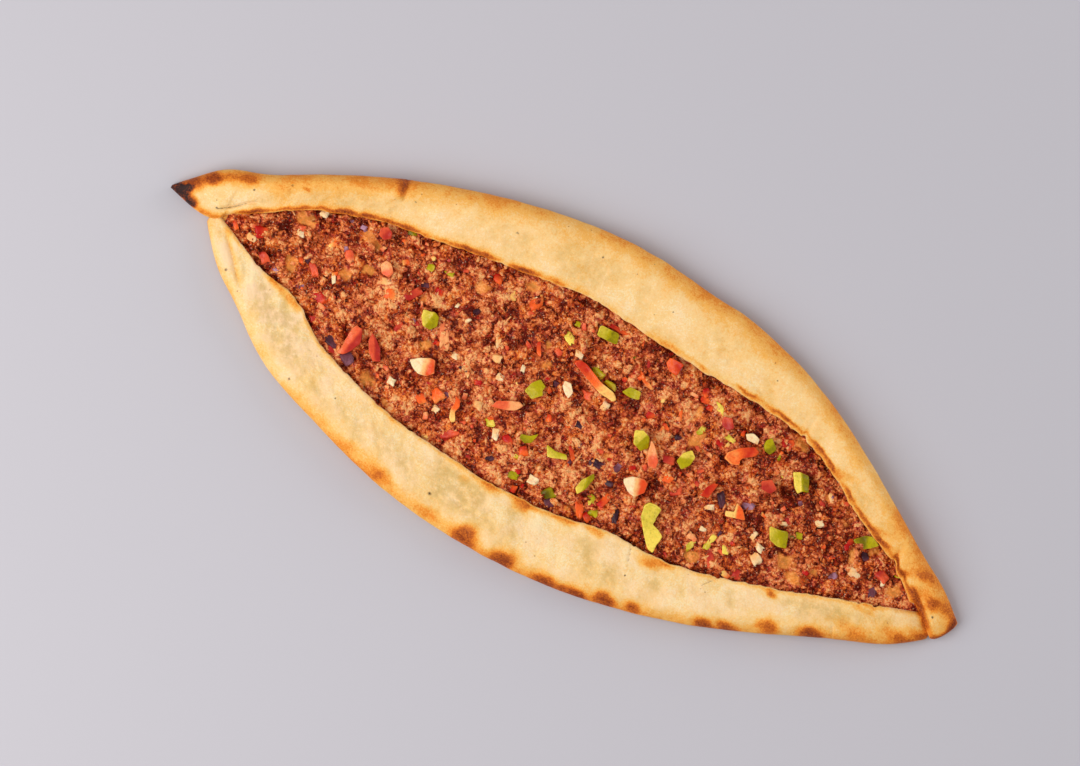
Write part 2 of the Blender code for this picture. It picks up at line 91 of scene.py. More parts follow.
# ---------------------------------------------------------------- marks of baking and painted shade, in millimetres
# Toasted and burnt spots, and one spot of painted shade beside a crease: (x, y, radius along X,
# radius along Y, how dark)
BROWN_SPOTS = (
    (-184, 12.5, 3.6, 3, 0.6), (-171, 19.5, 5, 2.6, 0.3), (-194, 6, 6, 5, 0.4),
    (-178, 16, 6, 2.6, 0.2), (-189, 7, 3, 3, 0.3), (-156, 21, 6, 4, 0.1),
    # The spot at (-111.5, 52.5) is painted shade on the left side of the crease there.
    (-145.5, 28.6, 1.6, 0.8, 0.3), (-111.5, 52.5, 3, 5.5, 0.18), (188, 3.1, 5, 2.8, 0.34),
    (122, 34, 6, 1.6, 0.22), (148, 20, 5, 1.5, 0.22), (153, 16.2, 5, 1.2, 0.34),
    (168, 9.2, 3, 1.3, 0.34), (120, -27.5, 3, 2, 0.2), (146, -33, 5, 3, 0.14),
    (126.5, -38, 3.5, 3.5, 0.1), (158, -14.5, 2.4, 1.2, 0.16), (163, -14, 2.4, 1.2, 0.14),
    (-57, -66, 7, 3.6, 0.34), (-62, -61, 5, 3, 0.16), (-74, -61, 6, 2.4, 0.14),
    (-11, -71.5, 6, 3.8, 0.62), (-9.5, -67.5, 3.6, 3, 0.3), (-30, -70, 8, 2.6, 0.2),
    (9, -72.8, 5.8, 3.4, 0.62), (12, -68, 4, 3.4, 0.2), (29.5, -72.4, 6.2, 3.4, 0.64),
    (45, -70.4, 5.8, 3, 0.58), (57.5, -66.4, 5.6, 3.6, 0.62), (70, -62.8, 3.6, 2.6, 0.5),
    (101, -54, 5, 2.6, 0.54), (111, -50.4, 5.8, 2.8, 0.62), (126, -41, 5, 3, 0.5),
    (144, -35.4, 5.8, 2.8, 0.6), (121, -28, 2.6, 1.4, 0.38), (-11, -46.5, 4.4, 2.6, 0.38),
    (5, -46.8, 4.8, 3.6, 0.44), (12, -46, 4, 1.4, 0.3), (21.5, -44.5, 7, 1.8, 0.3),
    (39.5, -41.6, 4.4, 1.8, 0.34), (66, -42.2, 6, 2.6, 0.48), (74, -39.6, 5, 1.4, 0.24),
    (-23, -49.5, 2.6, 2.2, 0.28), (160, -24, 10, 3, 0.22), (178, -17, 9, 3, 0.32),
    (181, 5, 8, 3, 0.26), (176, 12, 8, 2.4, 0.26), (198.5, -2, 2.2, 4, 0.36),
    (190, -12, 8, 2.2, 0.34), (185, 2, 3, 4, 0.22),
)
# Toasted stripes, and stripes of painted shade along creases: points along each, how far it reaches
# and how dark
TOAST_AND_SHADE_LINES = (
    (((172, 7), (180, -0.4), (191.5, -11)), 1.5, 0.36),
    # This stripe follows the near fold's left crease: painted shade in its valley.
    (((-170, -2), (-166.9, -6.5), (-157.8, -15.5), (-149.8, -24.7)), 1.3, 0.22),
    (((-144, -12.8), (-137, -15.2), (-129, -18), (-121, -21.6)), 1.7, 0.34),
    (((-188, -1), (-183, -2.6), (-177, -1)), 1.6, 0.14),
    (((197.4, 5), (199.8, 0), (199, -5), (195.5, -10), (189.5, -13.6)), 2, 0.5),
    # This stripe is painted shade on the left side of the crease near x = -110 mm.
    (((-112.6, 59.5), (-109.2, 51.5), (-107.8, 44)), 1.7, 0.3),
    (((-197.5, 3.5), (-190, 9), (-184.8, 13), (-177, 17.5), (-170, 20.5), (-160, 23)), 2.6, 0.3),
)
BURNT_EDGE = ((-202, 0.4), (-196, 0.7), (-192, 0.2), (-189.6, -1.6))
BLACK_DOTS = (
    (-33, -62.5, 0.9), (-112, -48.5, 0.7), (-160, -20, 0.8), (-55, 57, 0.6), (-17, 66, 0.6),
    (-177, 2, 0.6), (-166, 17, 0.6), (-152, 27, 0.6), (188, -2, 0.7), (-101, 47, 0.5),
    (22, 60, 0.5), (77, 56, 0.5), (-90, -46, 0.5), (60, -52, 0.5),
)
# Grooves and cracks: points along each, then width, depth and how dark it is painted inside, as
# painted shade
CREASES = (
    (((-176.2, 2), (-170.5, 6.3), (-165.9, 10.6), (-160, 14)), 0.9, 1.3, 0.5),
    (((-111, 59.5), (-107.5, 51), (-106, 43)), 1.5, 1.7, 0),
    (((-170, -2), (-166.9, -6.5), (-157.8, -15.5), (-149.8, -24.7)), 2.2, 1.5, 0),
    (((58.8, -48.2), (57.8, -44), (56.4, -39.8), (55.7, -38)), 0.7, 0.7, 0.42),
    (((91.8, -39.4), (94.4, -36), (97.2, -33.2)), 0.7, 0.6, 0.42),
    (((151, -26.5), (152, -29), (154, -31.5)), 0.9, 0.7, 0),
    (((159.3, 14.4), (165, 11), (171.2, 7)), 1.2, 0.8, 0),
    (((173, 7), (180, 2.2), (192, -7.6)), 0.9, 0.7, 0),
    (((40, 56), (60, 52), (78, 46.5)), 1.4, 0.4, 0),
    (((-30, -58), (-16, -60.5), (0, -60)), 1.4, 0.4, 0),
)
# Dough raised along one side of a line: points, height in millimetres and how far it reaches
STEPS = (
    (((-111, 59.5), (-107.5, 51), (-106, 43)), 1.2, 6),
    (((-149.8, -24.7), (-157.8, -15.5), (-166.9, -6.5), (-170, -2)), 0.9, 6),
    (((196, -11.5), (184, -3.8), (171, 5.6)), 0.8, 2),
)
# Where the mince leaves the oily dough bare: (x, y, radius along, radius across, turn in degrees)
BARE_PATCHES = (
    (-141, 17, 5, 3.4, 10), (-135, -5, 5.4, 3.2, 10), (-110, 23.5, 7.5, 2.4, -22),
    (-113, 4, 5, 3.6, -10), (-105, 11, 3.4, 2.6, 0), (-57, 28, 4.4, 3.4, 80),
    (-38, 38.5, 4.6, 3.2, 0), (-82, -30, 6, 4.2, -30), (-70, -37, 4.6, 2.4, -10),
    (-77, 12, 3.6, 3, 0), (-19, 20, 5.6, 2.6, 95), (-16, 12, 4.4, 3.2, 60),
    (-66, -6, 3.6, 2.6, 30), (54, 24, 6, 3.2, 100), (58, 16, 6.4, 4.4, 60),
    (25, -37.5, 6, 3.2, 20), (28, -10, 3.2, 2.4, 20), (121, 22, 6.4, 3, -40),
    (135, 16, 4.6, 2.8, -20), (119, -12, 6.4, 4.4, 10), (126, -17, 6.4, 4, 0),
    (83, -31, 5.4, 4.8, 30), (144, 3, 5.6, 2, 100), (100.5, 36, 4.4, 2.6, -20),
    (168, 0, 4.6, 3, 60), (152, 10, 3, 2.4, 0), (132, -11, 3.6, 2.8, 0),
)
# Notches and tongues of the lips: (x, half width, how far into the filling), in millimetres
FAR_NOTCHES = (
    (99.6, 1.1, -1.4), (103, 1.6, 0.6), (161.5, 1.6, -1.2), (165.5, 2, 1), (-132, 3, 0.5),
    (131, 1.4, 0.5), (47, 3, 0.6),
)
NEAR_NOTCHES = (
    (163.5, 1, -0.9), (160, 2.4, 0.7), (156.5, 0.8, -0.6), (57, 0.8, -0.7), (96.5, 0.8, -0.6),
    (130, 1, -0.4), (-127, 4, -0.5),
)

# Large pieces, each over its node: where its colour runs from and to (see the colour settings of
# its kind), the direction it runs in degrees, how sharply it changes, and its outline
PIECES = {
    "green_pepper_01": (0.74, 0.34, -5, 4, (
        (-75, 7.3), (-70, 8.7), (-67.3, 7.6), (-66.1, 3.5), (-68.2, 0.5), (-72, 1), (-74.3, 4.2))),
    "green_pepper_02": (0.66, 0.27, 0, 3.2, (
        (-3.3, 39.7), (6, 40), (7.2, 35.2), (-2.6, 34.5))),
    "green_pepper_03": (0.42, 0.58, 0, 1.4, (
        (19.2, 18.3), (21.5, 22), (26.7, 22.2), (27.8, 18.8), (24, 17.6))),
    "green_pepper_04": (0.76, 0.4, -15, 4, (
        (32.7, 6.3), (36, 8), (39.7, 6.7), (42, 2.3), (39.3, -0.7), (34.7, 0.6))),
    "green_pepper_05": (0.62, 0.52, 60, 2.4, (
        (-14.7, 5.8), (-11, 3.9), (-11.6, 1.6), (-10.3, -0.4), (-14, -4.2), (-18.7, -2.4),
        (-17.6, 2.3))),
    "green_pepper_06": (0.48, 0.84, 110, 2.4, (
        (59, 11), (62, 8.7), (61.6, 4.3), (59, 1), (55.2, 3.3), (56, 7.7))),
    "green_pepper_07": (0.78, 0.28, 10, 4, (
        (26.3, -19.2), (27.5, -21), (26.2, -27.6), (24, -31), (22, -29), (22.8, -24.2))),
    "green_pepper_08": (0.22, 0.42, 150, 2, (
        (85.6, 30.6), (87.3, 33), (91.7, 29.2), (90.2, 25.8), (87.3, 26), (85.8, 28.2))),
    "green_pepper_09": (0.88, 0.25, 32, 5, (
        (102.7, 24), (105.3, 25.8), (110, 26.1), (113.3, 19.4), (110.4, 18.6), (109.2, 16.7),
        (106.7, 18.3))),
    "green_pepper_10": (0.68, 0.36, 40, 3, (
        (105.2, -1.7), (110.7, -1), (114, 0.1), (116.6, -7), (112.7, -8.3), (108.2, -7.2))),
    "green_pepper_11": (0.14, 0.54, 15, 2.4, (
        (140.7, 11), (142.7, 13.4), (144.4, 15.2), (147.6, 16.2), (152, 14.2), (150, 11.8),
        (146.6, 9.2), (145.4, 11.6), (142.2, 10))),
    "green_pepper_strip_01": (0.76, 0.56, 90, 2, (
        (1.7, -18.2), (6.6, -19), (11.4, -18), (12.8, -19.9), (7.3, -22.2), (4.2, -23))),
    "green_pepper_strip_02": (0.26, 0.4, 70, 2, (
        (-3.7, -16), (-4.6, -21), (-7.3, -22.8), (-10.6, -21.5), (-10.4, -19.7), (-6.6, -18.6))),
    "green_pepper_skin": (0.76, 0.92, -20, 1.6, (
        (53.7, -18), (60, -18.3), (60, -19.8), (57.9, -20.9), (60.2, -23.7), (59.7, -26.3),
        (63.3, -27.3), (66.3, -29), (65.6, -33.7), (66, -37.6), (64, -37.2), (60.6, -34.7),
        (56.6, -29.7), (53.2, -25.7), (52.3, -21))),
    "red_pepper_01": (0.2, 0.34, 200, 1.6, (
        (30.6, 42), (37.8, 42.2), (37, 36), (32.7, 36.6), (30.2, 39))),
    "red_pepper_02": (0.1, 0.28, 0, 1, (
        (76.7, 3.2), (75.6, -4.4), (72, -5), (72.4, -0.4), (74.6, 2.9))),
    "red_pepper_03": (0.98, 0.48, 18, 3, (
        (87.7, 0.3), (91.3, -1), (94.8, -4.9), (90, -6.3), (86, -7.5), (84.9, -5.3), (88.6, -4))),
    "red_pepper_strip_01": (0.16, 0.9, -17, 1, (
        (-5.8, 20.2), (-4, 22), (0, 21.4), (9.3, 17.4), (16.8, 16.1), (18.7, 14), (17.6, 12.2),
        (10, 13.1), (2, 16.2), (-5.2, 19))),
    "red_pepper_strip_02": (0.36, 0.92, -70, 1, (
        (-44, -19), (-41.4, -19.6), (-40.1, -22.4), (-40.8, -25.6), (-38.7, -29), (-40, -30.4),
        (-42, -29), (-43.1, -25), (-42.8, -21.8))),
    "red_pepper_fork": (0.66, 0.16, 40, 1.2, (
        (72.6, 17), (76.6, 21.8), (82.7, 25.8), (85.4, 24.4), (84.7, 22), (80.4, 18.4),
        (79.6, 16.2), (80.8, 15), (77.3, 13.5), (73.2, 14.6))),
    "tomato_01": (0.9, 0.55, -50, 1.2, (
        (41, 6), (43.3, 5), (48.8, -1), (49, -4.4), (45.3, -4.8), (42.7, -0.3))),
    "tomato_02": (0.55, 0.98, 30, 1.4, (
        (-28.2, -15.8), (-27.2, -12.3), (-22.7, -9.6), (-18, -7.6), (-15.3, -8.3), (-17.4, -11.7),
        (-21.3, -13.8))),
    "tomato_03": (0.02, 0.26, 120, 1.4, (
        (64, 30.6), (67.8, 31.8), (70.6, 28.3), (68.6, 25.8), (64.8, 27))),
    "tomato_04": (0.14, 0.36, 160, 1.4, (
        (-109.2, 29.5), (-106.5, 31.6), (-103.6, 30.4), (-102.8, 27.6), (-105.4, 25.6),
        (-108.4, 26.6))),
    "tomato_05": (0.9, 0.55, -40, 1.6, (
        (-101.2, 15.2), (-100, 18.2), (-97.3, 18), (-94.4, 14.8), (-95.2, 12.3), (-99, 12))),
    "tomato_06": (0.08, 0.3, 90, 1, (
        (92.4, 13.9), (96.3, 16.6), (100.3, 13.9), (98.8, 10.6), (94.4, 10.6))),
    "tomato_wedge_01": (0.6, 0.04, -10, 4, (
        (-97.4, -13), (-94.6, -13), (-92.6, -17), (-92.2, -19.8), (-93.7, -23.7), (-96.3, -27),
        (-99.4, -28.4), (-98.6, -25), (-98.9, -20.3), (-98.5, -15))),
    "tomato_wedge_02": (0.3, 0.02, 30, 4, (
        (-90.2, -12.3), (-87.8, -13.6), (-83.2, -17), (-81.9, -19.8), (-80.4, -22), (-83.4, -23.8),
        (-86.8, -21), (-89.4, -17))),
    "onion_01": (1, 0.04, 12, 1.3, (
        (-69.6, -15), (-66.6, -12.2), (-62, -10), (-59.6, -10), (-58, -13), (-57, -15),
        (-59.4, -17.8), (-63.3, -18.8), (-66.2, -17.6))),
    "onion_02": (1, 0.02, 18, 1.3, (
        (38.6, -15), (41.3, -12.2), (47, -10.7), (49.4, -11.8), (49.8, -14), (50, -16.2),
        (46.8, -19.6), (42.6, -19), (39.2, -16.4))),
    "onion_03": (0.8, 1, 0, 1, (
        (-5.1, 10.2), (-2.3, 10.8), (0.9, 7.3), (0, 4.1), (-2.9, 5.7), (-4.8, 7.7))),
    "onion_04": (0.72, 0.96, 90, 1, (
        (76.4, 28.6), (79.3, 30.6), (83, 29.6), (83.4, 27), (78.2, 26.6))),
}

# Small pieces of each kind: how many lie at random spots, their slot, and the known ones as
# (x, y, length, width, turn in degrees, colour)
SMALL_PIECES = {
    "red_bits": (60, "red_pepper", (
        (5.5, 41.5, 11, 1.8, 0, 0.25), (-72.7, 17, 4, 3.6, 0, 0.12), (-91, 6, 5.4, 4.6, 10, 0.58),
        (-51.5, -23, 5.2, 4.4, -20, 0.5), (-57, -28, 4.4, 3.4, -40, 0.45),
        (-44.6, 31.8, 5, 4.2, 20, 0.78), (-33, 34, 6.2, 4.2, 60, 0.46),
        (-14, -25, 4.4, 3.4, -30, 0.12), (-6, -26, 4, 3.4, -50, 0.34),
        (35.3, 15.5, 3.6, 3.4, 0, 0.16), (36, -28, 6.4, 3.2, 80, 0.22),
        (28, -36, 7.6, 2.8, -60, 0.36), (33, -38, 5, 3.2, -30, 0.26), (56, -6, 5, 3.6, 80, 0.4),
        (68.7, 19.5, 4.4, 3, -10, 0.06), (53.5, 33, 4, 2.8, 20, 0.28), (57, 31, 3, 2.6, 0, 0.24),
        (95, 34, 6.2, 4.2, 30, 0.16), (-154.5, 2.5, 5.2, 4.6, 30, 0.14),
        (-117.5, -11, 6, 5, -20, 0.08), (-22, 17, 7, 2, -60, 0.3), (48, 20, 8, 1.6, -62, 0.62),
        (26, 27.5, 9, 2.2, -28, 0.58), (43, 12, 6, 1.8, 85, 0.6), (13.5, -16.5, 7, 2, -48, 0.26),
        (-53, 35.5, 4.4, 3.6, 0, 0.24), (52, 36, 4, 3.2, -50, 0.22),
        (-62.5, -2.6, 2.8, 2.4, 0, 0.24))),
    "tomato_bits": (70, "tomato", (
        (-81, -4.5, 5, 3.6, 80, 0.2), (-82, 11, 7.4, 3.6, 60, 0.16), (-62, 2, 12, 4.4, -62, 0.85),
        (103.5, -27.5, 5.4, 4.6, 0, 0.14), (160, 3, 6, 4.6, -20, 0.32),
        (-115, 12, 5.4, 4, -60, 0.6), (-38, -35, 7, 4, 60, 0.3), (52, 2, 6, 4, 10, 0.16),
        (-148, -7, 6, 4, -40, 0.3), (-101, -28, 5, 3, 0, 0.1), (173, -4, 4, 3, 0, 0.24),
        (90, -28, 6, 3, -60, 0.26), (-126, -1, 6, 3, -50, 0.34), (62, -9, 5, 3, 40, 0.3),
        (7, 9.5, 5, 4, 10, 0.5))),
    "onion_bits": (10, "onion", (
        (-23.8, 6, 3.8, 1.8, -75, 1), (-36, 4.3, 4.2, 3.4, 10, 0.5),
        (-30.7, -2.5, 3.4, 3, 0, 0.85), (-53, -4, 3.2, 2.8, 0, 0.85), (-72, -27.3, 3.2, 3, 0, 1),
        (-48.8, -28.7, 3, 3, 0, 0.8), (4.2, -35.3, 4.2, 3.4, 0, 0.95), (16, 9, 3.8, 3, 80, 0.7),
        (-33, -18, 4.2, 3.8, 0, 0.55), (-20.5, -25.5, 5.2, 2.6, -70, 0.8),
        (-139, 10.3, 3.8, 3, 0, 0.9), (-134, 23, 3.6, 3, 0, 0.85), (-116.2, -0.5, 4, 1.8, -60, 1),
        (106.5, -12.3, 4.4, 3.2, -10, 0.92), (107, -17.5, 5.6, 4.2, -30, 0.68),
        (124.5, 10, 3.8, 3.2, 40, 0.85), (124, 22.5, 5, 3, -40, 0.62), (149, -2, 6, 4, 10, 0.8),
        (80.5, -17.5, 3, 2, 0, 0.9), (111.5, 2.5, 4, 1.8, 20, 0.8),
        (161.5, 0.5, 3.4, 2.4, -70, 0.95), (-5, 23.5, 4, 3, 0, 0.8), (-95, 9.5, 5, 4, 0, 0.6),
        (-157, -2, 4, 3, 0, 0.6), (-33, 35.5, 3, 2, 0, 0.95), (101.5, -9, 4, 2.6, 80, 0.7))),
    "purple_bits": (14, "onion", (
        (-54, 18, 2.6, 2.4, 0, 0.1), (-47, -7, 4.2, 2, 0, 0.3), (-95, -27.5, 7, 4.6, -30, 0.5),
        (10, -3.7, 3, 3, 0, 0.1), (25.5, -15.2, 5.2, 3.8, 0, 0.05), (33.5, -20, 5.2, 3, 0, 0.05),
        (-48, -21.5, 4, 3, 80, 0.5), (44, -32, 7, 2.6, -65, 0), (15, -40.5, 4, 3, -40, 0.3),
        (-131, 1.5, 3.4, 3, 0, 0.1), (93, 1, 5, 3, 20, 0.8), (81.5, -2.5, 8.4, 3.4, -50, 0.2),
        (141, -7.5, 3, 3, 0, 0.8), (149, 7, 4, 3, -40, 0.05), (-104, -25, 6, 4, 0, 0.2),
        (-141, -9, 3, 2.2, 0, 1), (-116, 26, 3, 2.2, 0, 1), (51, 12.5, 2.6, 2.4, 0, 0.1),
        (-8, 7, 3, 3, 0, 0.3), (-77, 0.8, 3.4, 2, 0, 0.9), (-17.5, -36, 3.6, 2.6, 0, 0.1))),
    "green_bits": (6, "green_pepper", (
        (13.4, 18.6, 6.4, 2.8, -8, 0.6), (6.2, 20.2, 6, 3.6, -20, 0.5),
        (31, -30.3, 4.4, 3.6, -60, 0.66), (34.6, -34.7, 4, 3.4, 0, 0.5),
        (13.3, -37, 5, 4.4, 60, 0.15), (71.5, 23.3, 5, 2.2, -8, 0.85),
        (119.3, 0.8, 3, 2.6, 20, 0.5), (93.3, -20.5, 4.2, 2.8, -60, 1),
        (-12.5, 27.5, 6, 3.8, -30, 0.95), (61, 33, 7, 3, -20, 0.95), (-12, 35, 2.6, 2.4, 0, 0.5),
        (-96, 34, 4, 2, 0, 0.2), (-81.5, 25, 3.4, 2.8, 0, 0.55), (-73, 27.3, 4.4, 2.2, 0, 0.45),
        (58.5, 20, 4.4, 2.8, 70, 0.6), (-25, -22, 4, 3.6, 30, 0.8), (166, 6.5, 3.4, 2.2, 0, 0.6),
        (79, -26, 5.4, 2.6, 70, 0.85), (86, -21, 7, 2.8, 80, 0.85),
        (-4.5, -37.5, 4.6, 3, 0, 0.4))),
}


# ---------------------------------------------------------------- settings
def colour(name, description, default):
    """A colour setting, given as it looks on a screen from 0 to 1."""
    return bpy.props.FloatVectorProperty(name=name, description=description, default=default,
                                         subtype="COLOR_GAMMA", size=3, min=0.0, max=1.0)


def length(name, description, default):
    """A length setting in metres."""
    return bpy.props.FloatProperty(name=name, description=description, default=default,
                                   subtype="DISTANCE", unit="LENGTH", precision=5)


def watts(name, description, default):
    """A light's power in watts."""
    return bpy.props.FloatProperty(name=name, description=description, default=default,
                                   unit="POWER")


def spot(name, description, default):
    """A place in metres."""
    return bpy.props.FloatVectorProperty(name=name, description=description, default=default,
                                         subtype="XYZ", unit="LENGTH", size=3)


class DoughSettings(bpy.types.PropertyGroup):
    """Sizes and colours of the baked dough."""

    tip_line: length("Tip line", "Where the line through both tips lies in Y", -0.0015)
    far_crown: length("Far crown", "Height of the puffed far fold", 0.0155)
    near_crown: length("Near crown", "Height of the flatter near fold", 0.0128)
    far_lip_under: length("Far lip underside", "Height of the far lip's underside", 0.0092)
    near_lip_under: length("Near lip underside", "Height of the near lip's underside", 0.0088)
    end_lip_under: length("Lip underside at the ends", "The same where the opening closes", 0.0070)
    lip_thickness: length("Lip thickness", "Thickness of the dough at its lip", 0.0022)
    pocket_depth: length("Pocket depth", "How far the filling's space reaches in", 0.0088)
    base_thickness: length("Base thickness", "Thickness of the sheet under the filling", 0.0045)
    puff_height: length("Puffs", "Height of the broad puffs on the folds", 0.0010)
    wrinkle_height: length("Wrinkles", "Height of the fine wrinkles in the skin", 0.00022)
    pale: colour("Pale dough", "Dough that stayed pale", (0.975, 0.868, 0.672))
    cream: colour("Cream dough", "Most of the folds", (0.968, 0.795, 0.522))
    golden: colour("Golden dough", "Lightly toasted dough", (0.960, 0.705, 0.340))
    toasted: colour("Toasted dough", "The outer band", (0.920, 0.550, 0.160))
    brown: colour("Brown dough", "Well baked spots", (0.775, 0.390, 0.085))
    dark: colour("Dark dough", "The darkest spots", (0.560, 0.225, 0.020))
    # Also used as painted shade inside the creases.
    burnt: colour("Burnt dough", "The burnt tip", (0.170, 0.075, 0.070))
    blush: colour("Blushing dough", "Pinkish patches of pale dough", (0.985, 0.830, 0.660))
    # Olive of thin dough, laid mostly into the hollows between the puffs: partly the dough's tint,
    # partly painted shade.
    olive: colour("Thin dough", "Thin dough over the filling", (0.790, 0.655, 0.390))


class FillingSettings(bpy.types.PropertyGroup):
    """Sizes and colours of the mince and of the small bits in it."""

    top: length("Filling height", "Height of the top of the mince's core", 0.0079)
    end_top: length("Filling height at the ends", "The same where the opening closes", 0.0057)
    tuck: length("Tuck", "How far the mince reaches under the folds", 0.0050)
    clump_relief: length("Clumps", "Height of the mince's soft clumps", 0.0013)
    crumb_relief: length("Crumbs", "Height of the crumbs in the mince", 0.0016)
    grain_relief: length("Grains", "Height of the finest grains", 0.0007)
    lump_size: length("Lump size", "Mean size of a loose lump of mince", 0.0030)
    grain_size: length("Grain size", "Mean size of a loose grain of mince", 0.0017)
    shred_size: length("Shred size", "Mean length of a loose shred of mince", 0.0036)
    dark: colour("Dark mince", "Shaded, well cooked meat", (0.375, 0.065, 0.000))
    brown: colour("Brown mince", "Most of the meat", (0.710, 0.292, 0.118))
    rust: colour("Rust mince", "Meat soaked in paste", (0.740, 0.260, 0.060))
    pink: colour("Pink mince", "Pinkish meat", (0.940, 0.520, 0.290))
    orange: colour("Orange mince", "Meat under orange fat", (0.960, 0.510, 0.200))
    wine: colour("Wine mince", "Dark red meat", (0.600, 0.150, 0.095))
    rose: colour("Rose mince", "Rosy meat", (0.880, 0.395, 0.265))
    # Painted highlight: near-white flecks in the mince's colour that stand in for tiny wet glints.
    painted_glint: colour("Glint", "Tiny wet points of fat", (1.000, 0.880, 0.740))
    # Also the colour of the light flecks, which are partly fat and partly painted highlight.
    light: colour("Light mince", "Fat and bits of gristle", (1.000, 0.720, 0.455))
    paste: colour("Paste", "Flecks of red paste and pepper", (0.690, 0.110, 0.060))
    oil: colour("Oily dough", "Bare dough soaked with oil", (0.945, 0.620, 0.270))
    oil_dark: colour("Dark oily dough", "Bare dough under dark oil", (0.820, 0.440, 0.160))


class ToppingSettings(bpy.types.PropertyGroup):
    """Colours of the vegetables: each kind runs through three, at 0, one half and 1."""

    green_0: colour("Green, dark", "Shaded skin of the green pepper", (0.375, 0.325, 0.000))
    green_1: colour("Green, middle", "Skin and flesh of the green pepper", (0.705, 0.640, 0.000))
    green_2: colour("Green, pale", "Cut face of the green pepper", (0.985, 0.855, 0.350))
    red_0: colour("Red, dark", "Dark skin of the red pepper", (0.740, 0.090, 0.060))
    red_1: colour("Red, middle", "Orange side of the red pepper", (0.985, 0.410, 0.150))
    red_2: colour("Red, pale", "Pale end of the red pepper", (0.985, 0.800, 0.430))
    tomato_0: colour("Tomato, dark", "Dark, soft tomato", (0.700, 0.155, 0.125))
    tomato_1: colour("Tomato, middle", "Skin of the tomato", (0.930, 0.375, 0.210))
    tomato_2: colour("Tomato, pale", "Flesh of the tomato", (0.985, 0.665, 0.410))
    onion_0: colour("Onion, orange", "Onion stained by oil", (0.900, 0.300, 0.110))
    onion_1: colour("Onion, yellow", "Soft yellow onion", (0.980, 0.735, 0.450))
    onion_2: colour("Onion, white", "Pale onion", (0.985, 0.885, 0.690))
    purple_0: colour("Purple, dark", "Dark skin of the purple onion", (0.220, 0.090, 0.130))
    purple_1: colour("Purple, middle", "Purple onion", (0.430, 0.220, 0.260))
    purple_2: colour("Purple, pale", "Pale layer of the purple onion", (0.720, 0.520, 0.600))


class StageSettings(bpy.types.PropertyGroup):
    """Camera, floor and light."""

    camera_height: length("Camera height", "Height of the camera above the floor", 2.00)
    view_width: length("View width", "Width of the floor that the camera sees", 0.4794)
    turn: bpy.props.FloatProperty(name="Turn", description="Turn of the camera about the vertical",
                                  default=math.radians(29.15), subtype="ANGLE", unit="ROTATION")
    aim: spot("Aim", "Point that the camera looks at", (-0.0142, 0.0025, 0.0))
    key_power: watts("Key light", "Power of the soft key light", 16.5)
    key_size: length("Key light size", "Width of the key light", 1.20)
    key_place: spot("Key light place", "Where the key light hangs", (-0.72, -0.60, 1.00))
    fill_power: watts("Fill light", "Power of the low fill light", 8.0)
    fill_size: length("Fill light size", "Width of the fill light", 1.0)
    fill_place: spot("Fill light place", "Where the fill light hangs", (0.95, 1.15, 0.55))
    ambient: bpy.props.FloatProperty(name="Ambient", description="Brightness of the surroundings",
                                     default=0.475, subtype="FACTOR")
    floor: colour("Floor", "Colour of the floor", (0.750, 0.738, 0.763))
    floor_reach: length("Floor reach", "How far the floor reaches to each side", 4.0)


# ---------------------------------------------------------------- arithmetic on arrays
def smooth(t):
    """0 below 0, 1 above 1, and the S-curve 3t^2 - 2t^3 between."""
    t = np.clip(t, 0.0, 1.0)
    return t * t * (3.0 - 2.0 * t)


def bell(gap, reach):
    """1 where the gap is 0, falling off on both sides as exp(-(gap / reach)^2)."""
    return np.exp(-((gap / reach) ** 2))


def ends_fade(along, steepness):
    """0 at both ends of a line, where along is 0 and 1, and 1 between them."""
    return smooth(np.minimum(along, 1.0 - along) * steepness)


def turned_back(dx, dy, angle):
    """A place's coordinates along and across a direction that lies at an angle to X."""
    return (dx * math.cos(angle) + dy * math.sin(angle),
            -dx * math.sin(angle) + dy * math.cos(angle))


def lattice(ix, iy, seed):
    """A fixed random value from 0 to 1 for each whole-number grid point: the point and the seed
    times large odd numbers, with their bits mixed."""
    mixed = (ix * HASH_X + iy * HASH_Y + seed * HASH_SEED) & 0xFFFFFFFF
    mixed = ((mixed ^ (mixed >> 13)) * HASH_MIX) & 0xFFFFFFFF
    return ((mixed ^ (mixed >> 16)) & 0xFFFFFF) / float(0xFFFFFF)


def bumps(x, y, size, seed):
    """Value noise from -1 to 1: random grid values, blended by S-curves, `size` apart."""
    u, v = np.asarray(x / size), np.asarray(y / size)
    iu, iv = np.floor(u).astype(np.int64), np.floor(v).astype(np.int64)
    fu, fv = smooth(u - iu), smooth(v - iv)
    low = lattice(iu, iv, seed) * (1 - fu) + lattice(iu + 1, iv, seed) * fu
    high = lattice(iu, iv + 1, seed) * (1 - fu) + lattice(iu + 1, iv + 1, seed) * fu
    return 2.0 * (low * (1 - fv) + high * fv) - 1.0


def rough(x, y, size, seed, octaves=3):
    """A sum of value noises, each half as large and half as strong as the one before."""
    total = np.zeros(np.broadcast(x, y).shape)
    for k in range(octaves):
        total = total + bumps(x, y, size / 2**k, seed + 7 * k) / 2**k
    return total / (2.0 - 0.5 ** (octaves - 1))


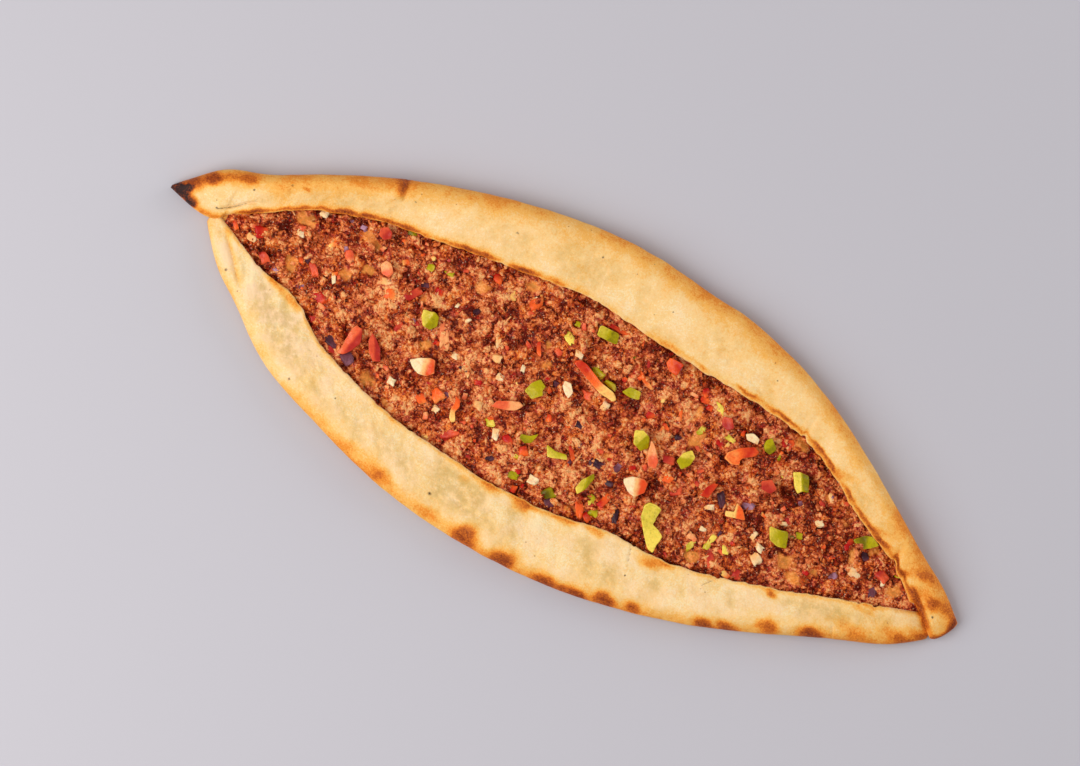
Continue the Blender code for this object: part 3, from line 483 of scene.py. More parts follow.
def cells(x, y, size, seed):
    """Jittered cells `size` apart: for each place the distance to the nearest and to the second
    nearest cell middle, as a share of the size, and two random values of the nearest cell."""
    u, v = x / size, y / size
    iu, iv = np.floor(u).astype(np.int64), np.floor(v).astype(np.int64)
    near = np.full(u.shape, 9.0)
    second = np.full(u.shape, 9.0)
    first_value, second_value = np.zeros(u.shape), np.zeros(u.shape)
    for du in (-1, 0, 1):
        for dv in (-1, 0, 1):
            cu, cv = iu + du, iv + dv
            gap = np.hypot(cu + 0.1 + 0.8 * lattice(cu, cv, seed) - u,
                           cv + 0.1 + 0.8 * lattice(cu, cv, seed + 1) - v)
            closer = gap < near
            second = np.where(closer, near, np.minimum(second, gap))
            near = np.where(closer, gap, near)
            first_value = np.where(closer, lattice(cu, cv, seed + 2), first_value)
            second_value = np.where(closer, lattice(cu, cv, seed + 3), second_value)
    return near, second, first_value, second_value


def edge(shape, x):
    """Distance of an edge from the tip line at x: blunt parabola plus its bumps."""
    left, right = shape["ends"]
    middle = shape["middle"]
    on_left = x < middle
    share = np.where(on_left, (middle - x) / (middle - left), (x - middle) / (right - middle))
    power = np.where(on_left, *shape["powers"])
    y = shape["width"] * (1.0 - np.clip(share, 0.0, 1.0) ** power)
    for place, width, amount in shape["bumps"]:
        y = y + amount * bell(x - place, width)
    return y


def far_span(x, tip_line):
    """(outer edge, inner edge) of the far fold; its ends lap over the near fold."""
    inner = edge(FAR_LIP, x)
    (x0, y0), (x1, y1) = RIGHT_LAP
    lap = y0 + (y1 - y0) * (x - x0) / (x1 - x0)
    inner = np.where(x > 0.150, np.minimum(inner, lap), inner)
    nose = y1 * (1.0 - np.clip((x - x1) / (TIP - x1), 0.0, 1.0) ** 2)
    inner = np.where(x > x1, nose, inner)
    heel_share = np.clip((OPENING[0] - x) / (TIP + OPENING[0]), 0.0, 1.0)
    heel = -LEFT_HEEL * np.sin(math.pi * heel_share**0.58)
    inner = np.where(x < OPENING[0], heel, inner)
    return tip_line + edge(FAR_OUTER, x), tip_line + inner


def near_span(x, tip_line):
    """(outer edge, inner edge) of the near fold."""
    return tip_line - edge(NEAR_OUTER, x), tip_line - edge(NEAR_LIP, x)


def room(x, y, tip_line):
    """Distance from the nearer lip: more than 0 between the lips and less under the folds."""
    return np.minimum(far_span(x, tip_line)[1] - y, y - near_span(x, tip_line)[1])


def openness(x, run=END_RUN):
    """1 along the opening and 0 past its ends, changing over `run`."""
    return smooth((x - OPENING[0]) / run) * smooth((OPENING[1] - x) / run)


def lip_roof(x):
    """Height that what lies under a lip has to stay below."""
    return LOW_ROOF + ROOF_RISE * openness(x)


def polyline_distance(x, y, points):
    """Distance from a line through points, and how far along it the nearest place is, 0 to 1."""
    best = np.full(x.shape, np.inf)
    along = np.zeros(x.shape)
    pieces = len(points) - 1
    for k in range(pieces):
        (ax, ay), (bx, by) = points[k], points[k + 1]
        dx, dy = bx - ax, by - ay
        t = np.clip(((x - ax) * dx + (y - ay) * dy) / (dx * dx + dy * dy), 0.0, 1.0)
        gap = np.hypot(x - ax - t * dx, y - ay - t * dy)
        along = np.where(gap < best, (k + t) / pieces, along)
        best = np.minimum(best, gap)
    return best, along


# ---------------------------------------------------------------- meshes
def add_object(name, data):
    """A new object in the scene, at the origin."""
    added = bpy.data.objects.new(name, data)
    bpy.context.scene.collection.objects.link(added)
    return added


def put_mesh(name, points, quads, triangles=None, values=None):
    """Makes a smooth object at the origin from arrays; values holds one number a vertex each."""
    mesh = bpy.data.meshes.new(name)
    triangles = np.zeros((0, 3), np.int64) if triangles is None else triangles
    loops = np.concatenate([quads.reshape(-1), triangles.reshape(-1)]).astype(np.int32)
    sizes = np.concatenate([np.full(len(quads), 4), np.full(len(triangles), 3)])
    mesh.vertices.add(len(points))
    mesh.vertices.foreach_set("co", points.astype(np.float32).reshape(-1))
    mesh.loops.add(len(loops))
    mesh.loops.foreach_set("vertex_index", loops)
    mesh.polygons.add(len(sizes))
    mesh.polygons.foreach_set("loop_start", (np.cumsum(sizes) - sizes).astype(np.int32))
    mesh.polygons.foreach_set("use_smooth", np.ones(len(sizes), bool))
    mesh.update(calc_edges=True)
    for key, value in (values or {}).items():
        layer = mesh.attributes.new(key, "FLOAT", "POINT")
        layer.data.foreach_set("value", value.astype(np.float32).reshape(-1))
    return add_object(name, mesh)


def ring_quads(rows, count):
    """Faces between neighbouring closed rings of `count` points."""
    i, j = np.meshgrid(np.arange(rows - 1), np.arange(count), indexing="ij")
    n = (j + 1) % count
    return np.stack([i * count + j, i * count + n, (i + 1) * count + n, (i + 1) * count + j],
                    axis=-1).reshape(-1, 4)


def cap_fans(rows, count, first, last):
    """Triangles that close the first and last ring onto two middle points."""
    j = np.arange(count)
    n = (j + 1) % count
    top = (rows - 1) * count
    return np.concatenate([np.stack([np.full(count, first), n, j], axis=-1),
                           np.stack([np.full(count, last), top + j, top + n], axis=-1)])


def tube_through(name, rings, values, flip=False):
    """A closed body from an array of rings (row, point, xyz), its ends closed by fans."""
    rows, count = rings.shape[:2]
    points = np.concatenate([rings.reshape(-1, 3), rings[0].mean(0)[None], rings[-1].mean(0)[None]])
    quads = ring_quads(rows, count)
    fans = cap_fans(rows, count, rows * count, rows * count + 1)
    if flip:
        quads, fans = quads[:, ::-1], fans[:, ::-1]
    full = {key: np.concatenate([v.reshape(-1), [v[0].mean(), v[-1].mean()]])
            for key, v in values.items()}
    return put_mesh(name, points, quads, fans, full)


def settle(piece, material, slot, *nodes):
    """Gives a piece its material and its body, and hides the nodes that it stands for."""
    piece.data.materials.append(material)
    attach(piece, "root")
    if nodes:
        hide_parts(*nodes)


# ---------------------------------------------------------------- shader arithmetic
class Value:
    """A shader socket in an expression: each operation adds its Math node."""

    def __init__(self, finish, socket):
        self.finish = finish
        self.socket = socket

    def maths(self, operation, first, second=0.0):
        """The result of a Math node."""
        return self.finish.node("ShaderNodeMath", {"operation": operation}, {0: first, 1: second})

    def __add__(self, other):
        return self.maths("ADD", self, other)

    def __radd__(self, other):
        return self.maths("ADD", other, self)

    def __sub__(self, other):
        return self.maths("SUBTRACT", self, other)

    def __rsub__(self, other):
        return self.maths("SUBTRACT", other, self)

    def __mul__(self, other):
        return self.maths("MULTIPLY", self, other)

    def __rmul__(self, other):
        return self.maths("MULTIPLY", other, self)


def linear(shade):
    """A colour as the shader needs it, from one as a screen shows it."""
    values = [c / 12.92 if c <= 0.04045 else ((c + 0.055) / 1.055) ** 2.4 for c in shade]
    return (*values, 1.0)


class Finish:
    """One material, built node by node."""

    def __init__(self, name):
        self.material = bpy.data.materials.new(name)
        self.material.use_nodes = True
        self.tree = self.material.node_tree
        self.shader = self.tree.nodes["Principled BSDF"]

    def node(self, kind, settings=None, inputs=None, output=0):
        """Adds a node: its settings first, then the values or links of its sockets."""
        node = self.tree.nodes.new(kind)
        for key, value in (settings or {}).items():
            setattr(node, key, value)
        for key, value in (inputs or {}).items():
            self.put(node.inputs[key], value)
        return Value(self, node.outputs[output])

    def put(self, socket, value):
        """Links a value to a socket, or sets the socket to a plain number or colour."""
        if isinstance(value, Value):
            self.tree.links.new(value.socket, socket)
        else:
            socket.default_value = value

    def attribute(self, name):
        """The number that a piece holds for each vertex under this name."""
        return self.node("ShaderNodeAttribute", {"attribute_name": name}, output="Fac")

    def noise(self, scale, detail=2.0, roughness=0.5):
        """Noise from 0 to 1 in object space, `scale` cells a metre."""
        place = self.node("ShaderNodeTexCoord", output="Object")
        return self.node("ShaderNodeTexNoise", {}, {"Vector": place, "Scale": scale,
                                                    "Detail": detail, "Roughness": roughness})

    def cell(self, scale, output, drift=0.0, feature="F1"):
        """Random cells in object space: the "Distance" from their middle (or, as the feature, to
        their edge) or a random "Color" for each. Noise drags them about by up to half of `drift`
        metres."""
        place = self.node("ShaderNodeTexCoord", output="Object")
        if drift:
            push = self.node("ShaderNodeTexNoise", {}, {"Vector": place, "Scale": scale * 0.7,
                                                        "Detail": 3.0}, output="Color")
            place = self.node("ShaderNodeVectorMath", {"operation": "MULTIPLY_ADD"},
                              {0: push, 1: (drift, drift, drift), 2: place})
        return self.node("ShaderNodeTexVoronoi", {"feature": feature},
                         {"Vector": place, "Scale": scale}, output=output)

    def band(self, value, low, high):
        """0 below low, 1 above high and a soft step between them; low may lie above high."""
        return self.node("ShaderNodeMapRange", {"interpolation_type": "SMOOTHSTEP"},
                         {"Value": value, "From Min": low, "From Max": high})

    def ramp(self, value, looks, stops):
        """A colour that changes with a value; stops are (name of a colour in looks, position)."""
        shade = self.node("ShaderNodeValToRGB", {}, {"Fac": value}, output="Color")
        colours = shade.socket.node.color_ramp
        colours.interpolation = "EASE"
        while len(colours.elements) > 1:
            colours.elements.remove(colours.elements[-1])
        for k, (name, position) in enumerate(stops):
            element = colours.elements[0] if k == 0 else colours.elements.new(position)
            element.position = position
            element.color = linear(getattr(looks, name))
        return shade

    def mix(self, factor, first, second):
        """A colour between two."""
        return self.node("ShaderNodeMix", {"data_type": "RGBA"},
                         {0: factor, 6: first, 7: second}, output=2)

    def bump(self, height, distance, strength=1.0):
        """A normal from a height; distance is the height of 1 in metres."""
        return self.node("ShaderNodeBump", {}, {"Height": height, "Distance": distance,
                                                "Strength": strength}, output="Normal")

    def set(self, **sockets):
        """Sets or links the shader's own sockets, with _ for a space in their names."""
        for key, value in sockets.items():
            self.put(self.shader.inputs[key.replace("_", " ")], value)
        return self.material


def crust_finish(dough):
    """Baked dough: colour from how toasted it is, with soft patches and a fine grain, pinkish where
    it is pale, olive where it is thin and in the hollows between puffs, there partly painted shade,
    with freckles, charred marks, painted shade inside the creases, and fine pores."""
    finish = Finish("crust")
    toasted = finish.attribute("toast")
    cloudy = finish.noise(150.0, 5.0, 0.62) - 0.5
    middle = finish.noise(460.0, 5.0, 0.66) - 0.5
    fine = finish.noise(1300.0, 3.0, 0.65) - 0.5
    toast = toasted + cloudy * 0.24 + (middle * 0.52 + fine * 1.05) * (toasted * 0.05 + 0.49)
    shade = finish.ramp(toast, dough, (
        ("pale", 0.00), ("cream", 0.18), ("golden", 0.36), ("toasted", 0.54), ("brown", 0.70),
        ("dark", 0.85), ("burnt", 1.00)))
    blush = finish.band(finish.noise(95.0, 3.0, 0.6), 0.42, 0.60)
    blush = blush * finish.band(toasted, 0.34, 0.08)
    shade = finish.mix(blush * finish.attribute("blush"), shade, linear(dough.blush))
    olive = finish.attribute("olive") * finish.band(finish.noise(300.0, 5.0, 0.65), 0.30, 0.62)
    shade = finish.mix(olive, shade, linear(dough.olive))
    rare = finish.band(finish.cell(260.0, "Color"), 0.72, 0.80)
    freckle = finish.band(finish.cell(260.0, "Distance"), 0.12, 0.06) * rare
    shade = finish.mix(freckle * 0.55, shade, linear(dough.dark))
    # The burnt colour also paints the shade inside the creases.
    char_and_crease_shade = finish.band(finish.attribute("char_and_crease_shade") + middle * 0.7, 0.15, 0.85)
    shade = finish.mix(char_and_crease_shade, shade, linear(dough.burnt))
    pores = finish.noise(420.0, 5.0, 0.7)
    return finish.set(Base_Color=shade, Roughness=0.72 - 0.22 * toasted,
                      Normal=finish.bump(pores, 0.0010, 0.65), Specular_IOR_Level=0.18,
                      Subsurface_Weight=0.10, Subsurface_Scale=0.003,
                      Subsurface_Radius=(1.0, 0.6, 0.3))


# Flecks in the mince: colour, noise (scale, detail, roughness), levels of its soft step, strength
FLECKS = (
    ("paste", (470.0, 3.0, 0.6), (0.60, 0.67), 0.75),
    ("orange", (540.0, 4.0, 0.7), (0.60, 0.68), 0.60),
    # Partly fat and partly painted highlights.
    ("light", (610.0, 3.0, 0.6), (0.64, 0.71), 0.80),
    # Painted highlights: near-white flecks for wet glints.
    ("painted_glint", (1350.0, 2.0, 0.5), (0.65, 0.72), 0.60),
)


def mince_finish(filling):
    """Cooked mince: pinkish, orange and crimson clouds that follow its clumps, crumbs and granules,
    painted shade in the clefts between them and at the granules' edges, flecks of red paste, flecks
    partly of fat and partly painted highlight, painted glints, and bare dough under orange oil."""
    finish = Finish("mince")
    granule = finish.cell(760.0, "Distance", 0.0022)
    fine = finish.noise(1300.0, 4.0, 0.75) - 0.5
    blotch = finish.noise(360.0, 4.0, 0.65) - 0.5
    # Painted shade: the clefts between the clumps are darkened in the colour.
    cleft = finish.band(finish.cell(430.0, "Distance", 0.0034, "DISTANCE_TO_EDGE"), 0.13, 0.01)
    cleft = cleft * finish.band(finish.noise(260.0, 3.0, 0.6), 0.40, 0.62)
    clump = finish.cell(330.0, "Color", 0.0050) - 0.5
    crumb = finish.cell(640.0, "Color", 0.0030) - 0.5
    # The tone: the piece's own value, random clumps and crumbs, painted shading that is lighter at
    # each granule's middle and darker towards its edge, noise, and the painted shade of the clefts.
    tone = finish.attribute("tone") + clump * 0.50 + crumb * 0.50 + (0.42 - granule) * 0.58
    tone = tone + fine * 0.56 + blotch * 0.50 + 0.06 - cleft * 0.44
    pinkish, orange, crimson = (
        finish.ramp(tone, filling, (("dark", 0.00), lower, upper, ("light", 1.00)))
        for lower, upper in ((("brown", 0.34), ("pink", 0.66)), (("rust", 0.34), ("orange", 0.66)),
                             (("wine", 0.36), ("rose", 0.70))))
    warmth = finish.attribute("warmth") + (finish.noise(560.0, 3.0, 0.6) - 0.5) * 1.6
    shade = finish.mix(finish.band(warmth, 0.30, 0.80), pinkish, orange)
    shade = finish.mix(finish.band(finish.noise(215.0, 4.0, 0.7), 0.47, 0.66), shade, crimson)
    for name, noise, levels, strength in FLECKS:
        flecks = finish.band(finish.noise(*noise), *levels)
        shade = finish.mix(flecks * strength, shade, linear(getattr(filling, name)))
    bare = finish.band(finish.attribute("bare") + (finish.noise(330.0, 5.0, 0.7) - 0.5) * 1.3,
                       0.20, 1.05)
    thick_oil = finish.band(finish.attribute("bare") + finish.noise(150.0, 4.0, 0.6), 1.60, 1.05)
    oily = finish.mix(thick_oil, linear(filling.oil), linear(filling.oil_dark))
    shade = finish.mix(bare * (0.62 + 0.5 * blotch), shade, oily)
    grain = finish.noise(1500.0, 3.0, 0.7) * 0.8 - granule
    return finish.set(Base_Color=shade, Roughness=0.30 + 0.30 * finish.noise(500.0, 3.0, 0.6),
                      Normal=finish.bump(grain * (1.0 - bare * 0.80), 0.0008, 0.8),
                      Specular_IOR_Level=0.08, Coat_Weight=0.09, Coat_Roughness=0.10,
                      Subsurface_Weight=0.06, Subsurface_Scale=0.002,
                      Subsurface_Radius=(1.0, 0.35, 0.2))


# The vegetables' slots, and the small pieces that differ from their slot, with their colours
VEGETABLE_COLOURS = {"green_pepper": "green", "red_pepper": "red", "tomato": "tomato",
                     "onion": "onion", "purple_bits": "purple"}


def vegetable_finish(name, looks, kind):
    """A cooked vegetable: its colour by the piece's own attribute, glossy and a little streaky."""
    finish = Finish(name)
    streak = finish.noise(420.0, 4.0, 0.6) - 0.5
    share = finish.attribute("flesh") + streak * 0.34
    shade = finish.ramp(share, looks, [(f"{kind}_{k}", k / 2) for k in range(3)])
    fibres = finish.band(finish.noise(800.0, 3.0, 0.6), 0.55, 0.25)
    shade = finish.mix(fibres * 0.35, shade, linear(getattr(looks, f"{kind}_0")))
    return finish.set(Base_Color=shade, Roughness=0.24 + 0.22 * finish.noise(600.0),
                      Normal=finish.bump(finish.noise(650.0, 3.0, 0.55), 0.0006, 0.5),
                      Specular_IOR_Level=0.12, Coat_Weight=0.14, Coat_Roughness=0.06,
                      Subsurface_Weight=0.10, Subsurface_Scale=0.002,
                      Subsurface_Radius=(1.0, 0.4, 0.15))


# ---------------------------------------------------------------- dough
# Points of a fold's section: round the outside, over the top, round the lip, and back under it
SIDE_POINTS, TOP_POINTS, NOSE_POINTS, UNDER_POINTS = 31, 72, 9, 7
FOLD_ROWS = 620
BASE_ROWS, BASE_COLUMNS = 300, 50
# How far the two folds' feet stay above the floor
FAR_FOOT, NEAR_FOOT = 0.0006, 0.0010


def crown_height(x, crown, ends):
    """Height of a fold along X: level in the middle and falling to its ends."""
    share = np.abs(2.0 * (x - ends[0]) / (ends[1] - ends[0]) - 1.0)
    rise = (crown - FOLD_END_HEIGHT) * np.sqrt(np.clip(1.0 - share**8, 0.0, 1.0))
    return FOLD_END_HEIGHT + rise


def fold_rings(x, outer, inner, crown, lip_under, dough, foot):
    """Sections of a fold: round outside (a quarter ellipse below and above the belly), a top that
    falls to the lip, a half-round lip, and the pocket under it. Rows run along X."""
    width = np.abs(outer - inner)[:, None]
    inwards = np.sign(inner - outer)[:, None]
    crown = crown[:, None]
    open_share = openness(x, 0.014)[:, None]
    full = openness(x)[:, None]
    shoulder = width * 0.33
    flat_under = dough.end_lip_under + (lip_under - dough.end_lip_under) * full
    lip_top = np.minimum(flat_under + dough.lip_thickness, crown * 0.9)
    under = foot + (flat_under - foot) * open_share
    lip_round = np.minimum(0.0012 + 0.0016 * (1 - open_share), width * 0.2)
    pocket = np.minimum(dough.pocket_depth * open_share + 0.0012, width * 0.36)
    sag = 0.0012 * open_share

    angle = np.radians(np.linspace(-90, 90, SIDE_POINTS))[None, :]
    belly = 0.42 * crown
    rise = np.where(angle > 0, crown - belly, belly - foot)
    side = (shoulder * (1 - np.cos(angle)), belly + np.sin(angle) * rise)
    t = np.linspace(0, 1, TOP_POINTS)[None, 1:]
    top = (shoulder + (width - lip_round - shoulder) * t,
           crown + (lip_top - crown) * smooth(t) ** 1.2)
    bend = np.radians(np.linspace(90, -90, NOSE_POINTS))[None, 1:]
    nose = (width - lip_round + lip_round * np.cos(bend),
            (lip_top + under) / 2 + np.sin(bend) * (lip_top - under) / 2)
    down = np.linspace(0, 1, UNDER_POINTS)[None, 1:]
    roof = (width - lip_round - (pocket - lip_round) * down,
            under - sag * smooth((down - 0.5) * 2))
    wall = (width - pocket - 0.0004 * down,
            under - sag + (foot + 0.0024 * open_share - under + sag) * down)
    across, height = (np.concatenate([part[k] for part in (side, top, nose, roof, wall)], axis=1)
                      for k in range(2))
    y = outer[:, None] + inwards * across
    return np.stack([np.repeat(x[:, None], y.shape[1], axis=1), y, height], axis=-1), across, width


def spot_sum(x, y, spots):
    """Sum of soft elliptic spots: each falls off as exp(-r^2.6) from its middle."""
    total = np.zeros(x.shape)
    for cx, cy, along, across, amount in spots:
        ragged = 1.0 + 0.35 * bumps(x, y, 0.0032, 61)
        reach = ((x - cx * MM) / (along * MM)) ** 2 + ((y - cy * MM) / (across * MM)) ** 2
        total += amount * np.exp(-((reach * ragged) ** 1.3))
    return total


def step_height(x, y):
    """Height of all the steps: full just to the right of a line, seen along it, and falling off
    away from it and beyond its ends."""
    total = np.zeros(x.shape)
    for points, height, reach in STEPS:
        gap, along = polyline_distance(x / MM, y / MM, points)
        (ax, ay), (bx, by) = points[0], points[-1]
        side = (x / MM - ax) * (by - ay) - (y / MM - ay) * (bx - ax)
        fall = np.exp(-gap / reach) * smooth(side / 60.0 + 0.5)
        total += height * MM * ends_fade(along, 6.0) * fall
    return total


def crease_depth(x, y):
    """Depth of all the creases: a V with soft shoulders that fades at both ends."""
    total = np.zeros(x.shape)
    for points, width, depth, _ in CREASES:
        gap, along = polyline_distance(x / MM, y / MM, points)
        total += depth * MM * ends_fade(along, 5.0) * bell(gap, width) ** 2
    return total


def far_toasting(toast, x, y, across, from_lip, band, lip_run):
    """Toasting of the far fold and of its rim: a broad band outside, darker towards the lapped end
    and paler at the tip; along the lip a halo and a frayed brown line, strong on the left half;
    and dark dashes a little off the lip on the right half."""
    line = np.zeros_like(x)
    toast = toast + 0.28 * band * bell(across, 0.0072)
    toast = toast + 0.08 * bell(across, 0.018) + 0.08 * smooth((x - 0.128) / 0.045)
    toast = toast - 0.07 * smooth((-0.150 - x) / 0.020)
    left, right = smooth((-0.015 - x) / 0.03), smooth((x - 0.06) / 0.05)
    halo = (0.16 + 0.26 * left + 0.14 * right) * bell(from_lip, 0.0029)
    frayed = from_lip + 0.0011 * rough(x, y, 0.0040, 35)
    rim = (0.10 + 0.42 * left) * bell(frayed - 0.0008, 0.0012)
    rim = rim * (0.25 + 0.75 * smooth((x + 0.170) / 0.006))
    dashes = smooth(0.55 + 1.6 * rough(x, line, 0.011, 36)) * smooth((x - 0.015) / 0.05)
    rim = rim + 0.50 * dashes * bell(frayed - 0.0020, 0.0009)
    return toast + lip_run * halo, rim


def near_toasting(toast, x, across, from_lip, band, lip_run):
    """Toasting of the near fold and of its rim: a narrow band outside, paler on the left, a little
    more at the lapped end, and a faint halo and line along the lip."""
    from_tip = smooth((x + 0.120) / 0.03)
    toast = toast + (0.16 + 0.16 * from_tip) * band * bell(across, 0.0046)
    toast = toast + (0.06 * bell(across, 0.012) + 0.08 * smooth((x - 0.120) / 0.05))
    toast = toast - 0.07 * smooth((-0.100 - x) / 0.03)
    return toast + lip_run * 0.14 * bell(from_lip, 0.0022), 0.12 * bell(from_lip - 0.0010, 0.0007)


def charred(x, y):
    """How burnt each point is, and how toasted around that: black along the burnt edge of the tip
    with a brown halo, small black dots, and painted shade inside the cracks in the same dark
    colour."""
    gap, _ = polyline_distance(x / MM, y / MM, BURNT_EDGE)
    char_and_crease_shade = smooth((1.5 - gap + 1.0 * rough(x, y, 0.003, 43)) / 2.6)
    brown = 0.72 * smooth((5.8 - gap + 2.4 * rough(x, y, 0.004, 44)) / 4.6)
    for cx, cy, radius in BLACK_DOTS:
        char_and_crease_shade = char_and_crease_shade + 0.8 * np.exp(-((x / MM - cx) ** 2 + (y / MM - cy) ** 2) / radius**2)
    # Painted shade: the inside of the darker creases gets the burnt colour.
    for points, _, _, dark in CREASES:
        if dark:
            gap, along = polyline_distance(x / MM, y / MM, points)
            char_and_crease_shade = char_and_crease_shade + dark * bell(gap, 0.36) * smooth((1.0 - along) * 2.0)
    return char_and_crease_shade, brown


def baked(rings, across, width, is_far, dough):
    """How toasted, olive, pinkish and burnt each point of a fold is, from its place and its
    distance to the edges. The toasting is a base with soft patches, paler on the puffs and darker
    in the hollows as painted shade, the bands of the fold, spots and stripes (some of them painted
    shade beside creases), held back where they add up, a painted highlight along the lip's very
    edge, and an even brown underneath. The olive lies mostly in the hollows, partly as painted
    shade, and the dark inside the creases is painted shade."""
    x, y, z = rings[..., 0], rings[..., 1] - dough.tip_line, rings[..., 2]
    from_lip = np.maximum(width - across, 0.0)
    line = np.zeros_like(x)
    patch = rough(x, y, 0.007, 32)
    puff = mottle(x, across, is_far)
    band = 0.80 + 0.35 * rough(x, line, 0.034, 33, 2) + 0.25 * patch + 0.35 * puff
    lip_run = 0.75 + 0.8 * rough(x, line, 0.009, 34, 4)
    # Painted shading: the dough is paler on the puffs and darker in the hollows between them.
    toast = (0.14 if is_far else 0.11) + 0.07 * patch - 0.10 * puff
    if is_far:
        toast, rim = far_toasting(toast, x, y, across, from_lip, band, lip_run)
    else:
        toast, rim = near_toasting(toast, x, across, from_lip, band, lip_run)
    toast = np.minimum(toast, 0.66) + spot_sum(x, y, BROWN_SPOTS) * (1.0 + 0.3 * patch)
    toast += np.clip(lip_run, 0.2, 1.6) * rim
    # Painted highlight: the lip's very edge is paler.
    toast -= 0.55 * np.maximum(toast - 0.16, 0.0) * bell(from_lip, 0.0005)
    for points, reach, amount in TOAST_AND_SHADE_LINES:
        gap, along = polyline_distance(x / MM, y / MM, points)
        toast += amount * ends_fade(along, 5.0) * (1.0 + 0.6 * patch) * bell(gap, reach)
    toast = np.where(toast > 0.70, 0.70 + 0.14 * np.tanh((toast - 0.70) * 3.0), toast)
    under = smooth((0.0048 - z) / 0.003) * smooth((0.012 - across) / 0.004)
    toast = toast + (0.46 + 0.08 * patch - toast) * under
    # Olive in the hollows between the puffs: partly the tint of thin dough, partly painted shade.
    olive = smooth(0.30 - 1.3 * puff + 0.25 * patch) * smooth(across / 0.012 - 0.2)
    olive = olive * smooth(from_lip / 0.005 - 0.2) * (0.36 if is_far else 0.64)
    char_and_crease_shade, brown = charred(x, y)
    blush = np.full(x.shape, 0.18) if is_far else 0.40 + 0.40 * smooth((-0.08 - x) / 0.05)
    return {"toast": np.clip(toast + brown, 0.0, 0.98), "olive": olive, "blush": blush,
            "char_and_crease_shade": np.clip(char_and_crease_shade, 0.0, 1.0)}


def frayed_lip(x, notches):
    """Small in and out of a lip's line, towards the filling: waves, and its notches."""
    line = np.zeros_like(x)
    shift = 0.0006 * rough(x, line, 0.009, 55) + 0.0003 * bumps(x, line, 0.0022, 57)
    for place, half, amount in notches:
        shift = shift + amount * MM * np.exp(-(((x - place * MM) / (half * MM)) ** 4))
    return shift * openness(x, 0.02)


def mottle(x, across, is_far):
    """Soft patches from -1 to 1, longer across the fold than along it."""
    slant = x + across * 0.35
    broad = rough(slant, across * (0.8 if is_far else 0.45), 0.012, 57, 2)
    return 0.65 * broad + 0.55 * rough(slant, across * 0.8, 0.0062, 58, 3)


def fold_relief(x, y, across, is_far, dough):
    """Height of the puffs and wrinkles of a fold: broad puffs, smaller ones and fine wrinkles."""
    puffs = dough.puff_height * rough(x, across * (1.0 if is_far else 0.5), 0.026, 52, 1)
    puffs = puffs + (0.7 if is_far else 1.1) * dough.puff_height * mottle(x, across, is_far)
    return puffs + dough.wrinkle_height * rough(x, y, 0.005, 53, 3)


def shape_fold(x, span, crown, lip_under, ends, foot, dough):
    """A fold's rings with the relief of puffs, wrinkles and creases on its upper side."""
    is_far = span is far_span
    outer, inner = span(x, dough.tip_line)
    shift = frayed_lip(x, FAR_NOTCHES if is_far else NEAR_NOTCHES)
    inner = inner + shift * (-1.0 if is_far else 1.0)
    rings, across, width = fold_rings(x, outer, inner, crown_height(x, crown, ends), lip_under,
                                      dough, foot)
    px, py, pz = rings[..., 0], rings[..., 1], rings[..., 2]
    upper = smooth((pz - 0.004) / 0.006) * np.minimum(1.0, width / 0.02)
    relief = fold_relief(px, py, across, is_far, dough)
    relief = relief - crease_depth(px, py - dough.tip_line) + step_height(px, py - dough.tip_line)
    rings[..., 2] = pz + upper * relief
    side = smooth((0.010 - across) / 0.006)
    rings[..., 1] = py + side * 0.0003 * rough(px, pz, 0.008, 54)
    return rings, across, width


def make_folds(dough, material):
    """The two folded edges, each one closed body, with its sections closer together at its ends:
    they follow a line and a cosine, mixed."""
    for name, span, crown, under, ends, foot in (
            ("far_fold", far_span, dough.far_crown, dough.far_lip_under, FAR_ENDS, FAR_FOOT),
            ("near_fold", near_span, dough.near_crown, dough.near_lip_under, NEAR_ENDS,
             NEAR_FOOT)):
        t = np.linspace(0.0, 1.0, FOLD_ROWS)
        x = (ends[0] + ends[1]) / 2 + (ends[1] - ends[0]) / 2 * (
            0.8 * (2 * t - 1) - 0.2 * np.cos(math.pi * t))
        rings, across, width = shape_fold(x, span, crown, under, ends, foot, dough)
        values = baked(rings, across, width, span is far_span, dough)
        fold = tube_through(name, rings, values, flip=span is far_span)
        settle(fold, material, "crust", "dough")


